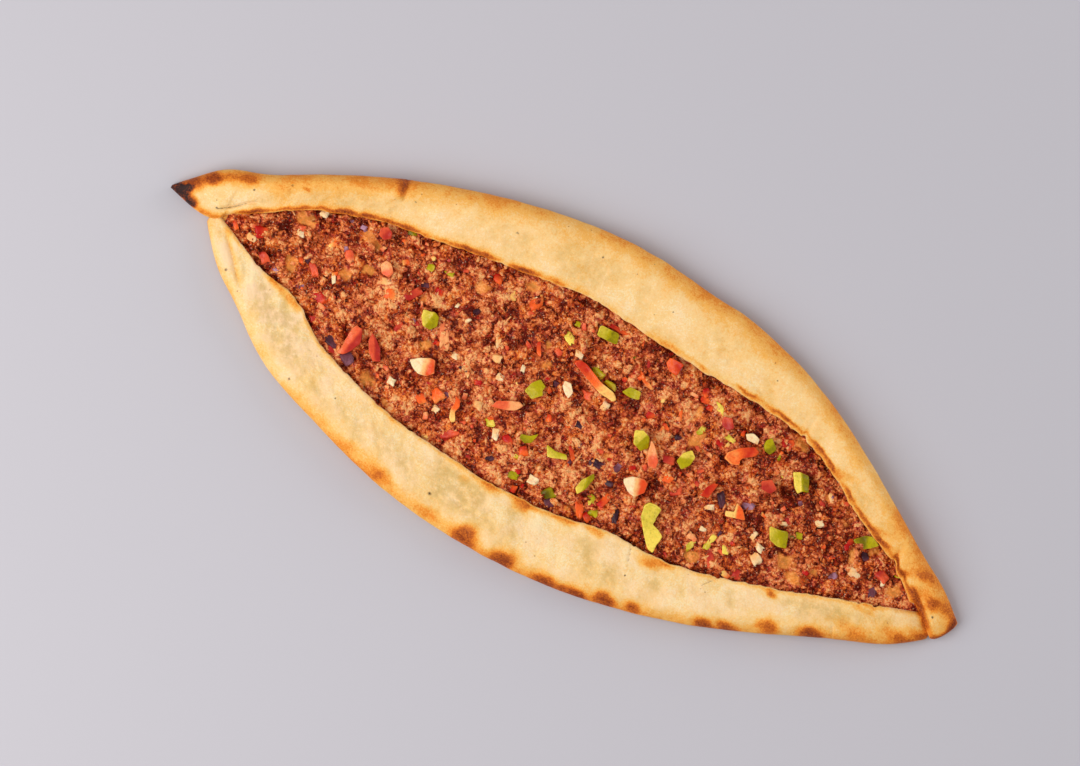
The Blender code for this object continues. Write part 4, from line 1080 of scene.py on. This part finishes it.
def make_base(dough, material):
    """The sheet under the filling: flat below, its rim sloping up into the folds."""
    x = np.linspace(*BASE_ENDS, BASE_ROWS)
    far = far_span(x, dough.tip_line)[0]
    near = np.where(x < NEAR_ENDS[0], dough.tip_line - LEFT_HEEL, near_span(x, dough.tip_line)[0])
    middle, half = (far + near) / 2, (far - near) / 2
    low = half - np.minimum(0.0110, half * 0.6)
    high = half - np.minimum(0.0065, half * 0.40)
    share = np.linspace(-1, 1, BASE_COLUMNS)
    thick = dough.base_thickness
    level = np.zeros((BASE_ROWS, BASE_COLUMNS))
    below = np.stack([middle[:, None] + low[:, None] * share, level], axis=-1)
    above = np.stack([middle[:, None] - high[:, None] * share * 0.98, level + thick], axis=-1)
    flank = [np.stack([middle + s * high, np.full(len(x), thick * 0.6)], axis=-1)[:, None]
             for s in (1, -1)]
    section = np.concatenate([below, flank[0], above, flank[1]], axis=1)
    rings = np.concatenate([np.repeat(x[:, None, None], section.shape[1], axis=1), section], axis=2)
    px, py = rings[..., 0], rings[..., 1]
    toast = 0.40 + 0.12 * rough(px, py, 0.030, 71) + 0.08 * rough(px, py, 0.006, 72)
    toast += 0.35 * smooth((bumps(px, py, 0.011, 73) - 0.62) * 4.0)
    none = np.zeros(toast.shape)
    values = {"toast": toast, "olive": none, "blush": none, "char_and_crease_shade": none}
    base = tube_through("base_sheet", rings, values)
    settle(base, material, "crust", "dough")


# ---------------------------------------------------------------- filling
# The mince sheet's grid for each half, and where the halves meet and by how much they pass it
CORE_ROWS, CORE_COLUMNS = 420, 228
SEAM, OVERLAP = 0.0040, 0.0020
# How far apart the mince's clumps and its granules are
CLUMP_SIZE, GRANULE_SIZE = 0.0036, 0.0015


class Footprint:
    """A large piece's place on the filling, read from its node: middle, length, width, turn and
    height."""

    def __init__(self, node):
        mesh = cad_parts[node].data
        points = np.empty(len(mesh.vertices) * 3, np.float32)
        mesh.vertices.foreach_get("co", points)
        points = points.reshape(-1, 3).astype(float)
        flat = points[:, :2]
        self.middle = (flat.max(0) + flat.min(0)) / 2
        centred = flat - flat.mean(0)
        _, vectors = np.linalg.eigh(centred.T @ centred)
        self.turn = math.atan2(vectors[1, 1], vectors[0, 1])
        along, across = self.local(flat[:, 0], flat[:, 1])
        self.middle = self.middle + np.array(turned_back(
            (along.max() + along.min()) / 2, (across.max() + across.min()) / 2, -self.turn))
        self.length = along.max() - along.min()
        self.width = across.max() - across.min()
        self.low, self.high = points[:, 2].min(), points[:, 2].max()

    def local(self, x, y):
        """(along, across) of points in the piece's own directions."""
        return turned_back(x - self.middle[0], y - self.middle[1], self.turn)

    def distance(self, x, y):
        """Distance from the piece's outline, taken as a bar with round ends."""
        along, across = self.local(x, y)
        reach = max(self.length - self.width, 0.0) / 2
        return np.hypot(np.maximum(np.abs(along) - reach, 0.0), across) - self.width / 2


def large_footprints():
    """Footprints of every node that lies on the filling, by name."""
    return {name: Footprint(name) for name in sorted(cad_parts)
            if name not in ("dough", "filling")}


def bareness(x, y, tip_line):
    """1 where the dough shows bare between the mince, 0 elsewhere: the sum of a soft hill for each
    patch and of value noise, cut at a level, so that the borders are ragged."""
    hills = np.zeros(np.broadcast(x, y).shape)
    for cx, cy, along, across, turn in BARE_PATCHES:
        u, v = turned_back(x - cx * MM, y - tip_line - cy * MM, math.radians(turn))
        reach = (u / (along * MM)) ** 2 + (v / (across * MM)) ** 2
        hills = np.maximum(hills, np.exp(-0.65 * reach))
    oily_end = 0.30 * smooth((-0.112 - x) / 0.03)
    noise = rough(x + 0.5 * y, y - 0.3 * x, 0.0056, 81, 4)
    return smooth((1.20 * hills + 1.00 * noise + oily_end - 0.54) * 1.5)


def billow(x, y, size, seed):
    """Rounded lumps with sharp clefts, from -1 to 1: twice the absolute value noise, less 1."""
    return np.clip(2.6 * np.abs(bumps(x, y, size, seed)) - 1.0, -1.0, 1.0)


def crumb_form(x, y):
    """Relief of the mince from -1 to 1 in two sizes, and two random values a lump. Soft clumps
    with clefts here and there, and small domed granules of many heights, crumbly in some places
    and smooth in others, all bent by noise so that nothing is round."""
    bent_x = x + 0.0013 * rough(x, y, 0.0036, 101, 4)
    bent_y = y + 0.0013 * rough(x, y, 0.0036, 110, 4)
    near, second, tone, warmth = cells(bent_x, bent_y, CLUMP_SIZE, 121)
    granule, other, fine_tone, _ = cells(bent_x, bent_y, GRANULE_SIZE, 131)
    soft = rough(bent_x, bent_y, 0.0066, 161, 3)
    cleft = billow(bent_x, bent_y, 0.0052, 141)
    split = smooth(0.35 + 1.2 * rough(x, y, 0.0070, 171, 2))
    inner = smooth((second - near) * 1.7)
    crumb = 0.58 * soft + 0.32 * cleft - 0.55 * split * (1.0 - inner) + 0.45 * inner * (tone - 0.4)
    crumbly = smooth(0.5 + 1.1 * rough(x, y, 0.0110, 181, 2))
    dome = 0.9 - 2.2 * granule**2 + 1.3 * (fine_tone - 0.5) * smooth((other - granule) * 2.5)
    return crumb, dome * (0.30 + 0.70 * crumbly), 0.5 + inner * (tone - 0.5), warmth


def core_height(x, y, filling, dough, footprints):
    """Top of the mince's core without its crumbs: soft clumps, lower at the folds and ends, sunk
    where it is bare, and pressed down under the large pieces."""
    height = filling.top + filling.clump_relief * rough(x, y, 0.0085, 91, 2)
    rim = filling.top - 0.0007
    height = rim + (height - rim) * smooth((room(x, y, dough.tip_line) + 0.001) / 0.005)
    height = height - bareness(x, y, dough.tip_line) * 0.0008
    for place in footprints.values():
        pressed = 1.0 - smooth((place.distance(x, y) + 0.0006) / 0.0014)
        height = height + (np.minimum(height, place.low) - height) * pressed
    return filling.end_top + (height - filling.end_top) * openness(x)


def mince_tone(x, y):
    """Broad drift of the mince's colour, from dark to pale and from pink to orange: paler in the
    middle of the left half, darker to the right as painted fall-off of the light, darker at the
    left end, and cloudy all over."""
    pale = np.exp(-(((x + 0.045) / 0.020) ** 2 + ((y + 0.001) / 0.014) ** 2))
    cloud = rough(x, y, 0.0105, 95, 2)
    # Painted shade: the tone falls slowly to the right, standing in for the light's fall-off across
    # the bread.
    tone = 0.43 - 0.05 * smooth((x - 0.02) / 0.10) + 0.18 * pale + 0.26 * cloud
    left_end = smooth((-0.095 - x) / 0.03)
    tone = tone - (0.07 + 0.12 * cloud) * left_end + 0.05 * bell(x - 0.01, 0.03)
    warmth = 0.42 - 0.35 * pale + 0.38 * rough(x, y, 0.009, 96, 2)
    return tone, warmth


def make_core(filling, dough, footprints, material):
    """The layer of mince as a closed sheet, open to view between the folds. It is made as a left
    and a right half, and each dips where it passes the seam."""
    left_end, right_end = CORE_ENDS
    for name, start, stop, dip in (("mince_left", left_end, SEAM + OVERLAP, 1.0),
                                   ("mince_right", SEAM - OVERLAP, right_end, -1.0)):
        x = np.linspace(start, stop, CORE_ROWS)
        tuck = filling.tuck * (0.08 + 0.92 * openness(x, 0.03))
        far = far_span(x, dough.tip_line)[1] + tuck
        near = near_span(x, dough.tip_line)[1] - tuck
        px = np.repeat(x[:, None], CORE_COLUMNS, axis=1)
        py = near[:, None] + (far - near)[:, None] * np.linspace(0.0, 1.0, CORE_COLUMNS)
        bare = bareness(px, py, dough.tip_line)
        crumb, grain, crumb_tone, crumb_warmth = crumb_form(px, py)
        inside = np.minimum(far[:, None] - py, py - near[:, None]) - tuck[:, None]
        in_view = smooth((inside + 0.004) / 0.005)
        loose = (1.0 - 0.85 * bare) * in_view * openness(px, 0.012)
        pz = core_height(px, py, filling, dough, footprints)
        pz = pz + loose * (filling.crumb_relief * crumb + filling.grain_relief * grain)
        pz = pz - 0.0004 * (1.0 - in_view)
        pz = pz - 0.0016 * smooth((dip * (px - SEAM) - 0.0006) / 0.0012)
        edges = [CORE_COLUMNS - 1, CORE_COLUMNS // 2, 0]
        floor = np.full((len(x), 3), dough.base_thickness - 0.0004)
        below = np.stack([px[:, edges], py[:, edges], floor], axis=-1)
        rings = np.concatenate([np.stack([px, py, pz], axis=-1), below], axis=1)
        tone, warmth = mince_tone(px, py)
        # Painted shading: the colour is paler on the tops of the crumbs and grains and darker in
        # the hollows between them.
        tone = tone + 0.26 * (crumb_tone - 0.5) + 0.60 * crumb + 0.22 * grain + 0.04
        warmth = warmth + 0.9 * (crumb_warmth - 0.5)
        glaze = 0.55 * smooth((-0.108 - px) / 0.03) * smooth(0.5 + 1.5 * rough(px, py, 0.009, 97))
        values = {"tone": np.clip(tone, 0.0, 1.0), "warmth": warmth,
                  "bare": np.maximum(bare, glaze)}
        values = {key: np.concatenate([value, value[:, edges]], axis=1)
                  for key, value in values.items()}
        settle(tube_through(name, rings, values, flip=True), material, "mince", "filling")


def ball_rings(sides, rows, power):
    """A unit superellipsoid: rings of cos^p, sin^p points between two poles."""
    v = np.linspace(-math.pi / 2, math.pi / 2, rows + 1)[1:-1]
    u = np.linspace(-math.pi, math.pi, sides, endpoint=False)

    def bent(values):
        """The values to a power, with their signs kept."""
        return np.sign(values) * np.abs(values) ** power

    ring = np.stack([np.outer(bent(np.cos(v)), bent(np.cos(u))),
                     np.outer(bent(np.cos(v)), bent(np.sin(u))),
                     np.repeat(bent(np.sin(v))[:, None], sides, axis=1)], axis=-1)
    points = np.concatenate([ring.reshape(-1, 3), [[0, 0, -1.0], [0, 0, 1.0]]])
    count = (rows - 1) * sides
    return points, ring_quads(rows - 1, sides), cap_fans(rows - 1, sides, count, count + 1)


def turned(spins):
    """Rotation matrices for turns about X, then Y, then Z, one a row."""
    (cx, cy, cz), (sx, sy, sz) = np.cos(spins.T), np.sin(spins.T)
    nil, one = np.zeros(len(spins)), np.ones(len(spins))
    about_x = np.stack([one, nil, nil, nil, cx, -sx, nil, sx, cx], -1).reshape(-1, 3, 3)
    about_y = np.stack([cy, nil, sy, nil, one, nil, -sy, nil, cy], -1).reshape(-1, 3, 3)
    about_z = np.stack([cz, -sz, nil, sz, cz, nil, nil, nil, one], -1).reshape(-1, 3, 3)
    return about_z @ about_y @ about_x


def scatter(name, places, sizes, spins, unevenness, form, values, rng, drift=0.0):
    """Many small bodies in one mesh. Each is a superellipsoid whose points move in and out by its
    own piece of value noise, stretched to its size, turned at random and put at its place. Its
    values change by up to `drift` along it, and are higher where it bulges out."""
    points, quads, fans = ball_rings(*form)
    count, verts = len(places), len(points)
    start = rng.uniform(0.0, 900.0, (count, 2, 1))
    u = points[:, 0] * 1.3 + points[:, 2] * 0.9 + start[:, 0]
    v = points[:, 1] * 1.3 - points[:, 2] * 0.8 + start[:, 1]
    radius = 1.0 + unevenness * (bumps(u, v, 1.1, 3) + 0.6 * bumps(u, v, 0.5, 4))
    body = points[None] * radius[..., None] * (sizes[:, None, :] / 2)
    placed = np.einsum("kij,kvj->kvi", turned(spins), body) + places[:, None, :]
    shift = (np.arange(count) * verts)[:, None, None]
    slope = drift * (points[:, 0] * 0.8 + 0.5 * radius - 0.5)
    spread = {key: value[:, None] + slope for key, value in values.items()}
    return put_mesh(name, placed.reshape(-1, 3), (quads[None] + shift).reshape(-1, 4),
                    (fans[None] + shift).reshape(-1, 3), spread)


def scattered_spots(spacing, rng, dough, margin):
    """A jittered grid of spots between the two lips, kept `margin` inside them."""
    gx = np.arange(LOOSE_ENDS[0], LOOSE_ENDS[1] + MM, spacing)
    gy = np.arange(-LOOSE_REACH, LOOSE_REACH, spacing)
    x, y = np.meshgrid(gx, gy, indexing="ij")
    x = x + rng.uniform(-0.55, 0.55, x.shape) * spacing
    y = y + rng.uniform(-0.55, 0.55, y.shape) * spacing
    inside = room(x, y, dough.tip_line)
    keep = (inside > margin) & (x > LOOSE_ENDS[0]) & (x < LOOSE_ENDS[1])
    return x[keep], y[keep], inside[keep]


def nearest_piece(x, y, footprints):
    """Distance to the nearest large piece, and the height of its underside."""
    gap = np.full(x.shape, np.inf)
    low = np.full(x.shape, np.inf)
    for place in footprints.values():
        distance = place.distance(x, y)
        low = np.where(distance < gap, place.low, low)
        gap = np.minimum(gap, distance)
    return gap, low


# Loose mince: its size setting, how far apart, shape (length, width and height as shares of the
# size), unevenness, form (sides, rows and squareness, see ball_rings) and how much paler it is
CRUMB_KINDS = {
    "meat_lumps": ("lump_size", 0.0068, (1.25, 0.90, 0.55), 0.50, (12, 8, 0.9), 0.0),
    "meat_grains": ("grain_size", 0.0036, (1.30, 0.85, 0.60), 0.55, (8, 6, 0.9), 0.0),
    "meat_shreds": ("shred_size", 0.0041, (1.30, 0.20, 0.16), 0.40, (5, 9, 0.8), 0.16),
}
BIT_SPACING = 0.0031
BIT_FORM = (16, 10, 0.48)


def make_crumbs(filling, dough, footprints, material):
    """The loose lumps, grains and shreds of the mince."""
    for seed, (name, kind) in enumerate(CRUMB_KINDS.items(), 5):
        size_name, spacing, shares, uneven, form, paler = kind
        rng = np.random.default_rng(seed)
        x, y, inside = scattered_spots(spacing, rng, dough, -0.0003)
        bare = bareness(x, y, dough.tip_line)
        gap, low = nearest_piece(x, y, footprints)
        keep = (rng.uniform(0, 0.7, x.shape) > bare) & (gap > -0.0004)
        x, y, inside, gap, low = x[keep], y[keep], inside[keep], gap[keep], low[keep]
        count = len(x)
        size = getattr(filling, size_name) * np.exp(rng.normal(0.0, 0.26, count))
        sizes = size[:, None] * np.array(shares) * rng.uniform(0.80, 1.20, (count, 3))
        crumb = crumb_form(x, y)[0]
        z = core_height(x, y, filling, dough, footprints) + filling.crumb_relief * crumb
        z = z + sizes[:, 2] * rng.uniform(-0.45, 0.05, count)
        z = np.where(inside < 0.0020, np.minimum(z, lip_roof(x) - 0.40 * sizes[:, 2]), z)
        z = np.where(gap < size / 2, np.minimum(z, low - 0.30 * sizes[:, 2]), z)
        spins = np.stack([rng.normal(0, 0.45, count), rng.normal(0, 0.45, count),
                          rng.uniform(0, 2 * math.pi, count)], axis=-1)
        tone, warmth = mince_tone(x, y)
        # Painted shading: crumbs that lie higher on the relief are paler.
        tone = tone + 0.06 + 0.40 * crumb + rng.normal(0.0, 0.12, count) + paler
        warmth = warmth + rng.uniform(-0.40, 0.40, count)
        values = {"tone": np.clip(tone, 0.0, 1.0), "warmth": warmth, "bare": np.zeros(count)}
        places = np.stack([x, y, z], axis=-1)
        crumbs = scatter(name, places, sizes, spins, uneven, form, values, rng)
        settle(crumbs, material, "mince", "filling")


def make_bits(filling, dough, footprints, materials):
    """Finely diced vegetables mixed into the mince, one mesh for each kind: those at known spots,
    and more at random."""
    for seed, (name, (more, slot, known)) in enumerate(SMALL_PIECES.items(), 21):
        rng = np.random.default_rng(seed)
        x, y, _ = scattered_spots(BIT_SPACING, rng, dough, 0.0012)
        gap, _ = nearest_piece(x, y, footprints)
        pick = rng.permutation(np.flatnonzero(gap > 0.0010))[:more]
        table = np.array(known)
        x = np.concatenate([table[:, 0] * MM, x[pick]])
        y = np.concatenate([table[:, 1] * MM + dough.tip_line, y[pick]])
        size = 1.9 * MM * np.exp(rng.normal(0.0, 0.28, more))
        size_x = np.concatenate([table[:, 2] * MM, size * rng.uniform(1.0, 1.6, more)])
        size_y = np.concatenate([table[:, 3] * MM, size * rng.uniform(0.6, 1.0, more)])
        count = len(x)
        thick = np.minimum(size_y * 0.60, 0.0024) * rng.uniform(0.8, 1.1, count)
        sizes = np.stack([size_x, size_y, thick], axis=-1)
        z = core_height(x, y, filling, dough, footprints) + filling.crumb_relief * 0.2
        z = z + thick * rng.uniform(-0.30, 0.05, count)
        inside = room(x, y, dough.tip_line)
        z = np.where(inside < 0.0026, np.minimum(z, lip_roof(x) - 0.45 * thick), z)
        turn = np.concatenate([np.radians(table[:, 4]), rng.uniform(0, 2 * math.pi, more)])
        spins = np.stack([rng.normal(0, 0.22, count), rng.normal(0, 0.16, count), turn], axis=-1)
        values = {"flesh": np.concatenate([table[:, 5], rng.uniform(0.0, 0.9, more)])}
        places = np.stack([x, y, z], axis=-1)
        bits = scatter(name, places, sizes, spins, 0.36, BIT_FORM, values, rng, 0.26)
        settle(bits, materials.get(name, materials[slot]), slot, "filling")


# ---------------------------------------------------------------- large pieces
OUTLINE_POINTS = 72
# Share of each side that the cut takes off a corner
CORNER_CUT = 0.10


def rounded_outline(outline, count):
    """`count` points evenly spaced along a closed outline whose corners are cut once."""
    points = np.array(outline, float) * MM
    following = np.roll(points, -1, axis=0)
    keep = 1.0 - CORNER_CUT
    points = np.stack([keep * points + CORNER_CUT * following,
                       CORNER_CUT * points + keep * following], axis=1).reshape(-1, 2)
    closed = np.concatenate([points, points[:1]])
    steps = np.concatenate([[0.0], np.cumsum(np.hypot(*np.diff(closed, axis=0).T))])
    at = np.linspace(0.0, steps[-1], count, endpoint=False)
    return np.stack([np.interp(at, steps, closed[:, k]) for k in range(2)], axis=-1)


# From the underside to the middle of the top: share of the outline's size, and of the height
CUT_SECTION = (
    (0.88, 0), (0.96, 0.08), (1, 0.3), (1, 0.55), (0.99, 0.76), (0.975, 0.88), (0.95, 0.955),
    (0.91, 0.99), (0.85, 1), (0.7, 1), (0.52, 0.99), (0.34, 0.98), (0.16, 0.97),
)


def make_cut(name, place, dough, material, slot, seed):
    """One cut piece over its node: its outline drawn up to an edge and a top that slopes and dips a
    little. Its colour runs across it, with a painted highlight along its upper rim and painted
    shade on its lower sides."""
    start, end, direction, sharpness, outline = PIECES[name]
    line = rounded_outline(outline, OUTLINE_POINTS) + np.array([0.0, dough.tip_line])
    middle = line.mean(0)
    share = np.array(CUT_SECTION)
    flat = middle + (line - middle)[None] * share[:, None, None, 0]
    x, y = flat[..., 0], flat[..., 1]
    reach = np.abs(line - middle).max()
    run = turned_back(x - middle[0], y - middle[1], math.radians(direction))[0] / reach
    thick = place.high - place.low
    dents = rough(x, y, 0.0030, seed, 2)
    lean = 0.16 * (x - middle[0]) / reach * (-1) ** seed + 0.16 * (y - middle[1]) / reach
    fall = 0.55 * smooth((sharpness - 1.0) / 2.0) * np.maximum(run, 0.0)
    top = 0.86 + lean + 0.14 * dents - fall
    z = place.low + thick * np.minimum(share[:, None, 1] * top, 1.0)
    wobble = 1.0 + 0.07 * dents * smooth(share[:, None, 1] * 3.0)
    x = middle[0] + (x - middle[0]) * wobble
    y = middle[1] + (y - middle[1]) * wobble
    value = start + (end - start) * smooth(0.5 + 0.8 * (run - 0.05) * sharpness)
    # Painted highlight along the upper rim, and painted shade darkening the lower sides.
    rim = bell(share[:, None, 0] - 0.95, 0.03) * (share[:, None, 1] > 0.7)
    value = value + 0.18 * rim - 0.26 * smooth((0.86 - share[:, None, 1]) * 5.0) + 0.12 * dents
    rings = np.stack([x, y, z], axis=-1)
    following = np.roll(line, -1, axis=0)
    clockwise = np.sum(line[:, 0] * following[:, 1] - line[:, 1] * following[:, 0]) < 0
    values = {"flesh": np.clip(value, 0.0, 1.0)}
    piece = tube_through(name + "_cut", rings, values, flip=clockwise)
    settle(piece, material, slot, name)


def make_pieces(footprints, dough, materials):
    """Every large piece of vegetable, each over its own node."""
    for seed, (name, place) in enumerate(footprints.items(), 200):
        slot = next(kind for kind in VEGETABLE_COLOURS if name.startswith(kind))
        make_cut(name, place, dough, materials[slot], slot, seed)


# ---------------------------------------------------------------- stage
SURROUNDINGS = (0.98, 0.98, 1.0)
KEY_SHADE = (1.0, 0.985, 0.96)
FILL_SHADE = (1.0, 1.0, 1.0)
# Height at which the camera's view has its set width
VIEW_LEVEL = 0.004


def soft_light(name, size, power, shade, place):
    """A square light that points at the middle of the bread."""
    lamp = bpy.data.lights.new(name, "AREA")
    lamp.shape = "SQUARE"
    lamp.size = size
    lamp.energy = power
    lamp.color = shade
    light = add_object(name, lamp)
    light.location = place
    light.rotation_euler = (-light.location).to_track_quat("-Z", "Y").to_euler()


def make_stage(stage):
    """A pale floor, a large soft key light, a weaker fill light across from it, even surroundings,
    and the camera straight above."""
    scene = bpy.context.scene
    corners = np.array([(-1.0, -1.0, 0.0), (1.0, -1.0, 0.0), (1.0, 1.0, 0.0), (-1.0, 1.0, 0.0)])
    floor = put_mesh("floor", corners * stage.floor_reach, np.array([[0, 1, 2, 3]]))
    floor.data.materials.append(Finish("floor").set(
        Base_Color=linear(stage.floor), Roughness=0.55, Specular_IOR_Level=0.2))

    world = bpy.data.worlds.new("surroundings")
    world.use_nodes = True
    background = world.node_tree.nodes["Background"]
    background.inputs["Color"].default_value = (*SURROUNDINGS, 1.0)
    background.inputs["Strength"].default_value = stage.ambient
    scene.world = world
    soft_light("soft_key", stage.key_size, stage.key_power, KEY_SHADE, stage.key_place)
    soft_light("soft_fill", stage.fill_size, stage.fill_power, FILL_SHADE, stage.fill_place)

    lens = bpy.data.cameras.new("camera")
    lens.sensor_width = 36.0
    lens.lens = lens.sensor_width * (stage.camera_height - VIEW_LEVEL) / stage.view_width
    lens.clip_start = 0.01
    camera = add_object("camera", lens)
    camera.location = (stage.aim[0], stage.aim[1], stage.camera_height)
    camera.rotation_euler = (0.0, 0.0, stage.turn)
    scene.camera = camera
    scene.view_settings.view_transform = "Standard"


# ---------------------------------------------------------------- operators
class FLATBREAD_OT_dough(bpy.types.Operator):
    """Makes the base sheet and the two folded edges"""

    bl_idname = "flatbread.dough"
    bl_label = "Dough"

    def execute(self, context):
        dough = context.scene.flatbread_dough
        material = crust_finish(dough)
        make_folds(dough, material)
        make_base(dough, material)
        return {"FINISHED"}


class FLATBREAD_OT_filling(bpy.types.Operator):
    """Makes the layer of mince: its core, lumps, grains and shreds"""

    bl_idname = "flatbread.filling"
    bl_label = "Filling"

    def execute(self, context):
        filling, dough = context.scene.flatbread_filling, context.scene.flatbread_dough
        material = mince_finish(filling)
        footprints = large_footprints()
        make_core(filling, dough, footprints, material)
        make_crumbs(filling, dough, footprints, material)
        return {"FINISHED"}


class FLATBREAD_OT_vegetables(bpy.types.Operator):
    """Makes the diced vegetables, the fine bits in the mince and the pieces on it"""

    bl_idname = "flatbread.vegetables"
    bl_label = "Vegetables"

    def execute(self, context):
        scene = context.scene
        looks = scene.flatbread_toppings
        materials = {name: vegetable_finish(name, looks, kind)
                     for name, kind in VEGETABLE_COLOURS.items()}
        footprints = large_footprints()
        make_bits(scene.flatbread_filling, scene.flatbread_dough, footprints, materials)
        make_pieces(footprints, scene.flatbread_dough, materials)
        return {"FINISHED"}


class FLATBREAD_OT_stage(bpy.types.Operator):
    """Makes the floor, the light and the camera"""

    bl_idname = "flatbread.stage"
    bl_label = "Stage"

    def execute(self, context):
        make_stage(context.scene.flatbread_stage)
        return {"FINISHED"}


class FLATBREAD_PT_panel(bpy.types.Panel):
    """Lists the flatbread's operators and settings"""

    bl_idname = "FLATBREAD_PT_panel"
    bl_label = "Meat Flatbread"
    bl_space_type = "VIEW_3D"
    bl_region_type = "UI"
    bl_category = "Flatbread"

    def draw(self, context):
        for operator in OPERATORS:
            self.layout.operator(operator.bl_idname)
        for name, group in SETTINGS.items():
            box = self.layout.box()
            for key in group.__annotations__:
                box.prop(getattr(context.scene, name), key)


SETTINGS = {
    "flatbread_dough": DoughSettings,
    "flatbread_filling": FillingSettings,
    "flatbread_toppings": ToppingSettings,
    "flatbread_stage": StageSettings,
}
OPERATORS = (FLATBREAD_OT_dough, FLATBREAD_OT_filling, FLATBREAD_OT_vegetables, FLATBREAD_OT_stage)


def register():
    """Registers the settings, the operators and the panel."""
    for name, group in SETTINGS.items():
        bpy.utils.register_class(group)
        setattr(bpy.types.Scene, name, bpy.props.PointerProperty(type=group))
    for operator in (*OPERATORS, FLATBREAD_PT_panel):
        bpy.utils.register_class(operator)


def unregister():
    """Takes everything back that register added."""
    for operator in (FLATBREAD_PT_panel, *reversed(OPERATORS)):
        bpy.utils.unregister_class(operator)
    for name, group in reversed(list(SETTINGS.items())):
        delattr(bpy.types.Scene, name)
        bpy.utils.unregister_class(group)


def main():
    """Builds the flatbread."""
    register()
    bpy.ops.flatbread.dough()
    bpy.ops.flatbread.filling()
    bpy.ops.flatbread.vegetables()
    bpy.ops.flatbread.stage()


if __name__ == "__main__":
    main()
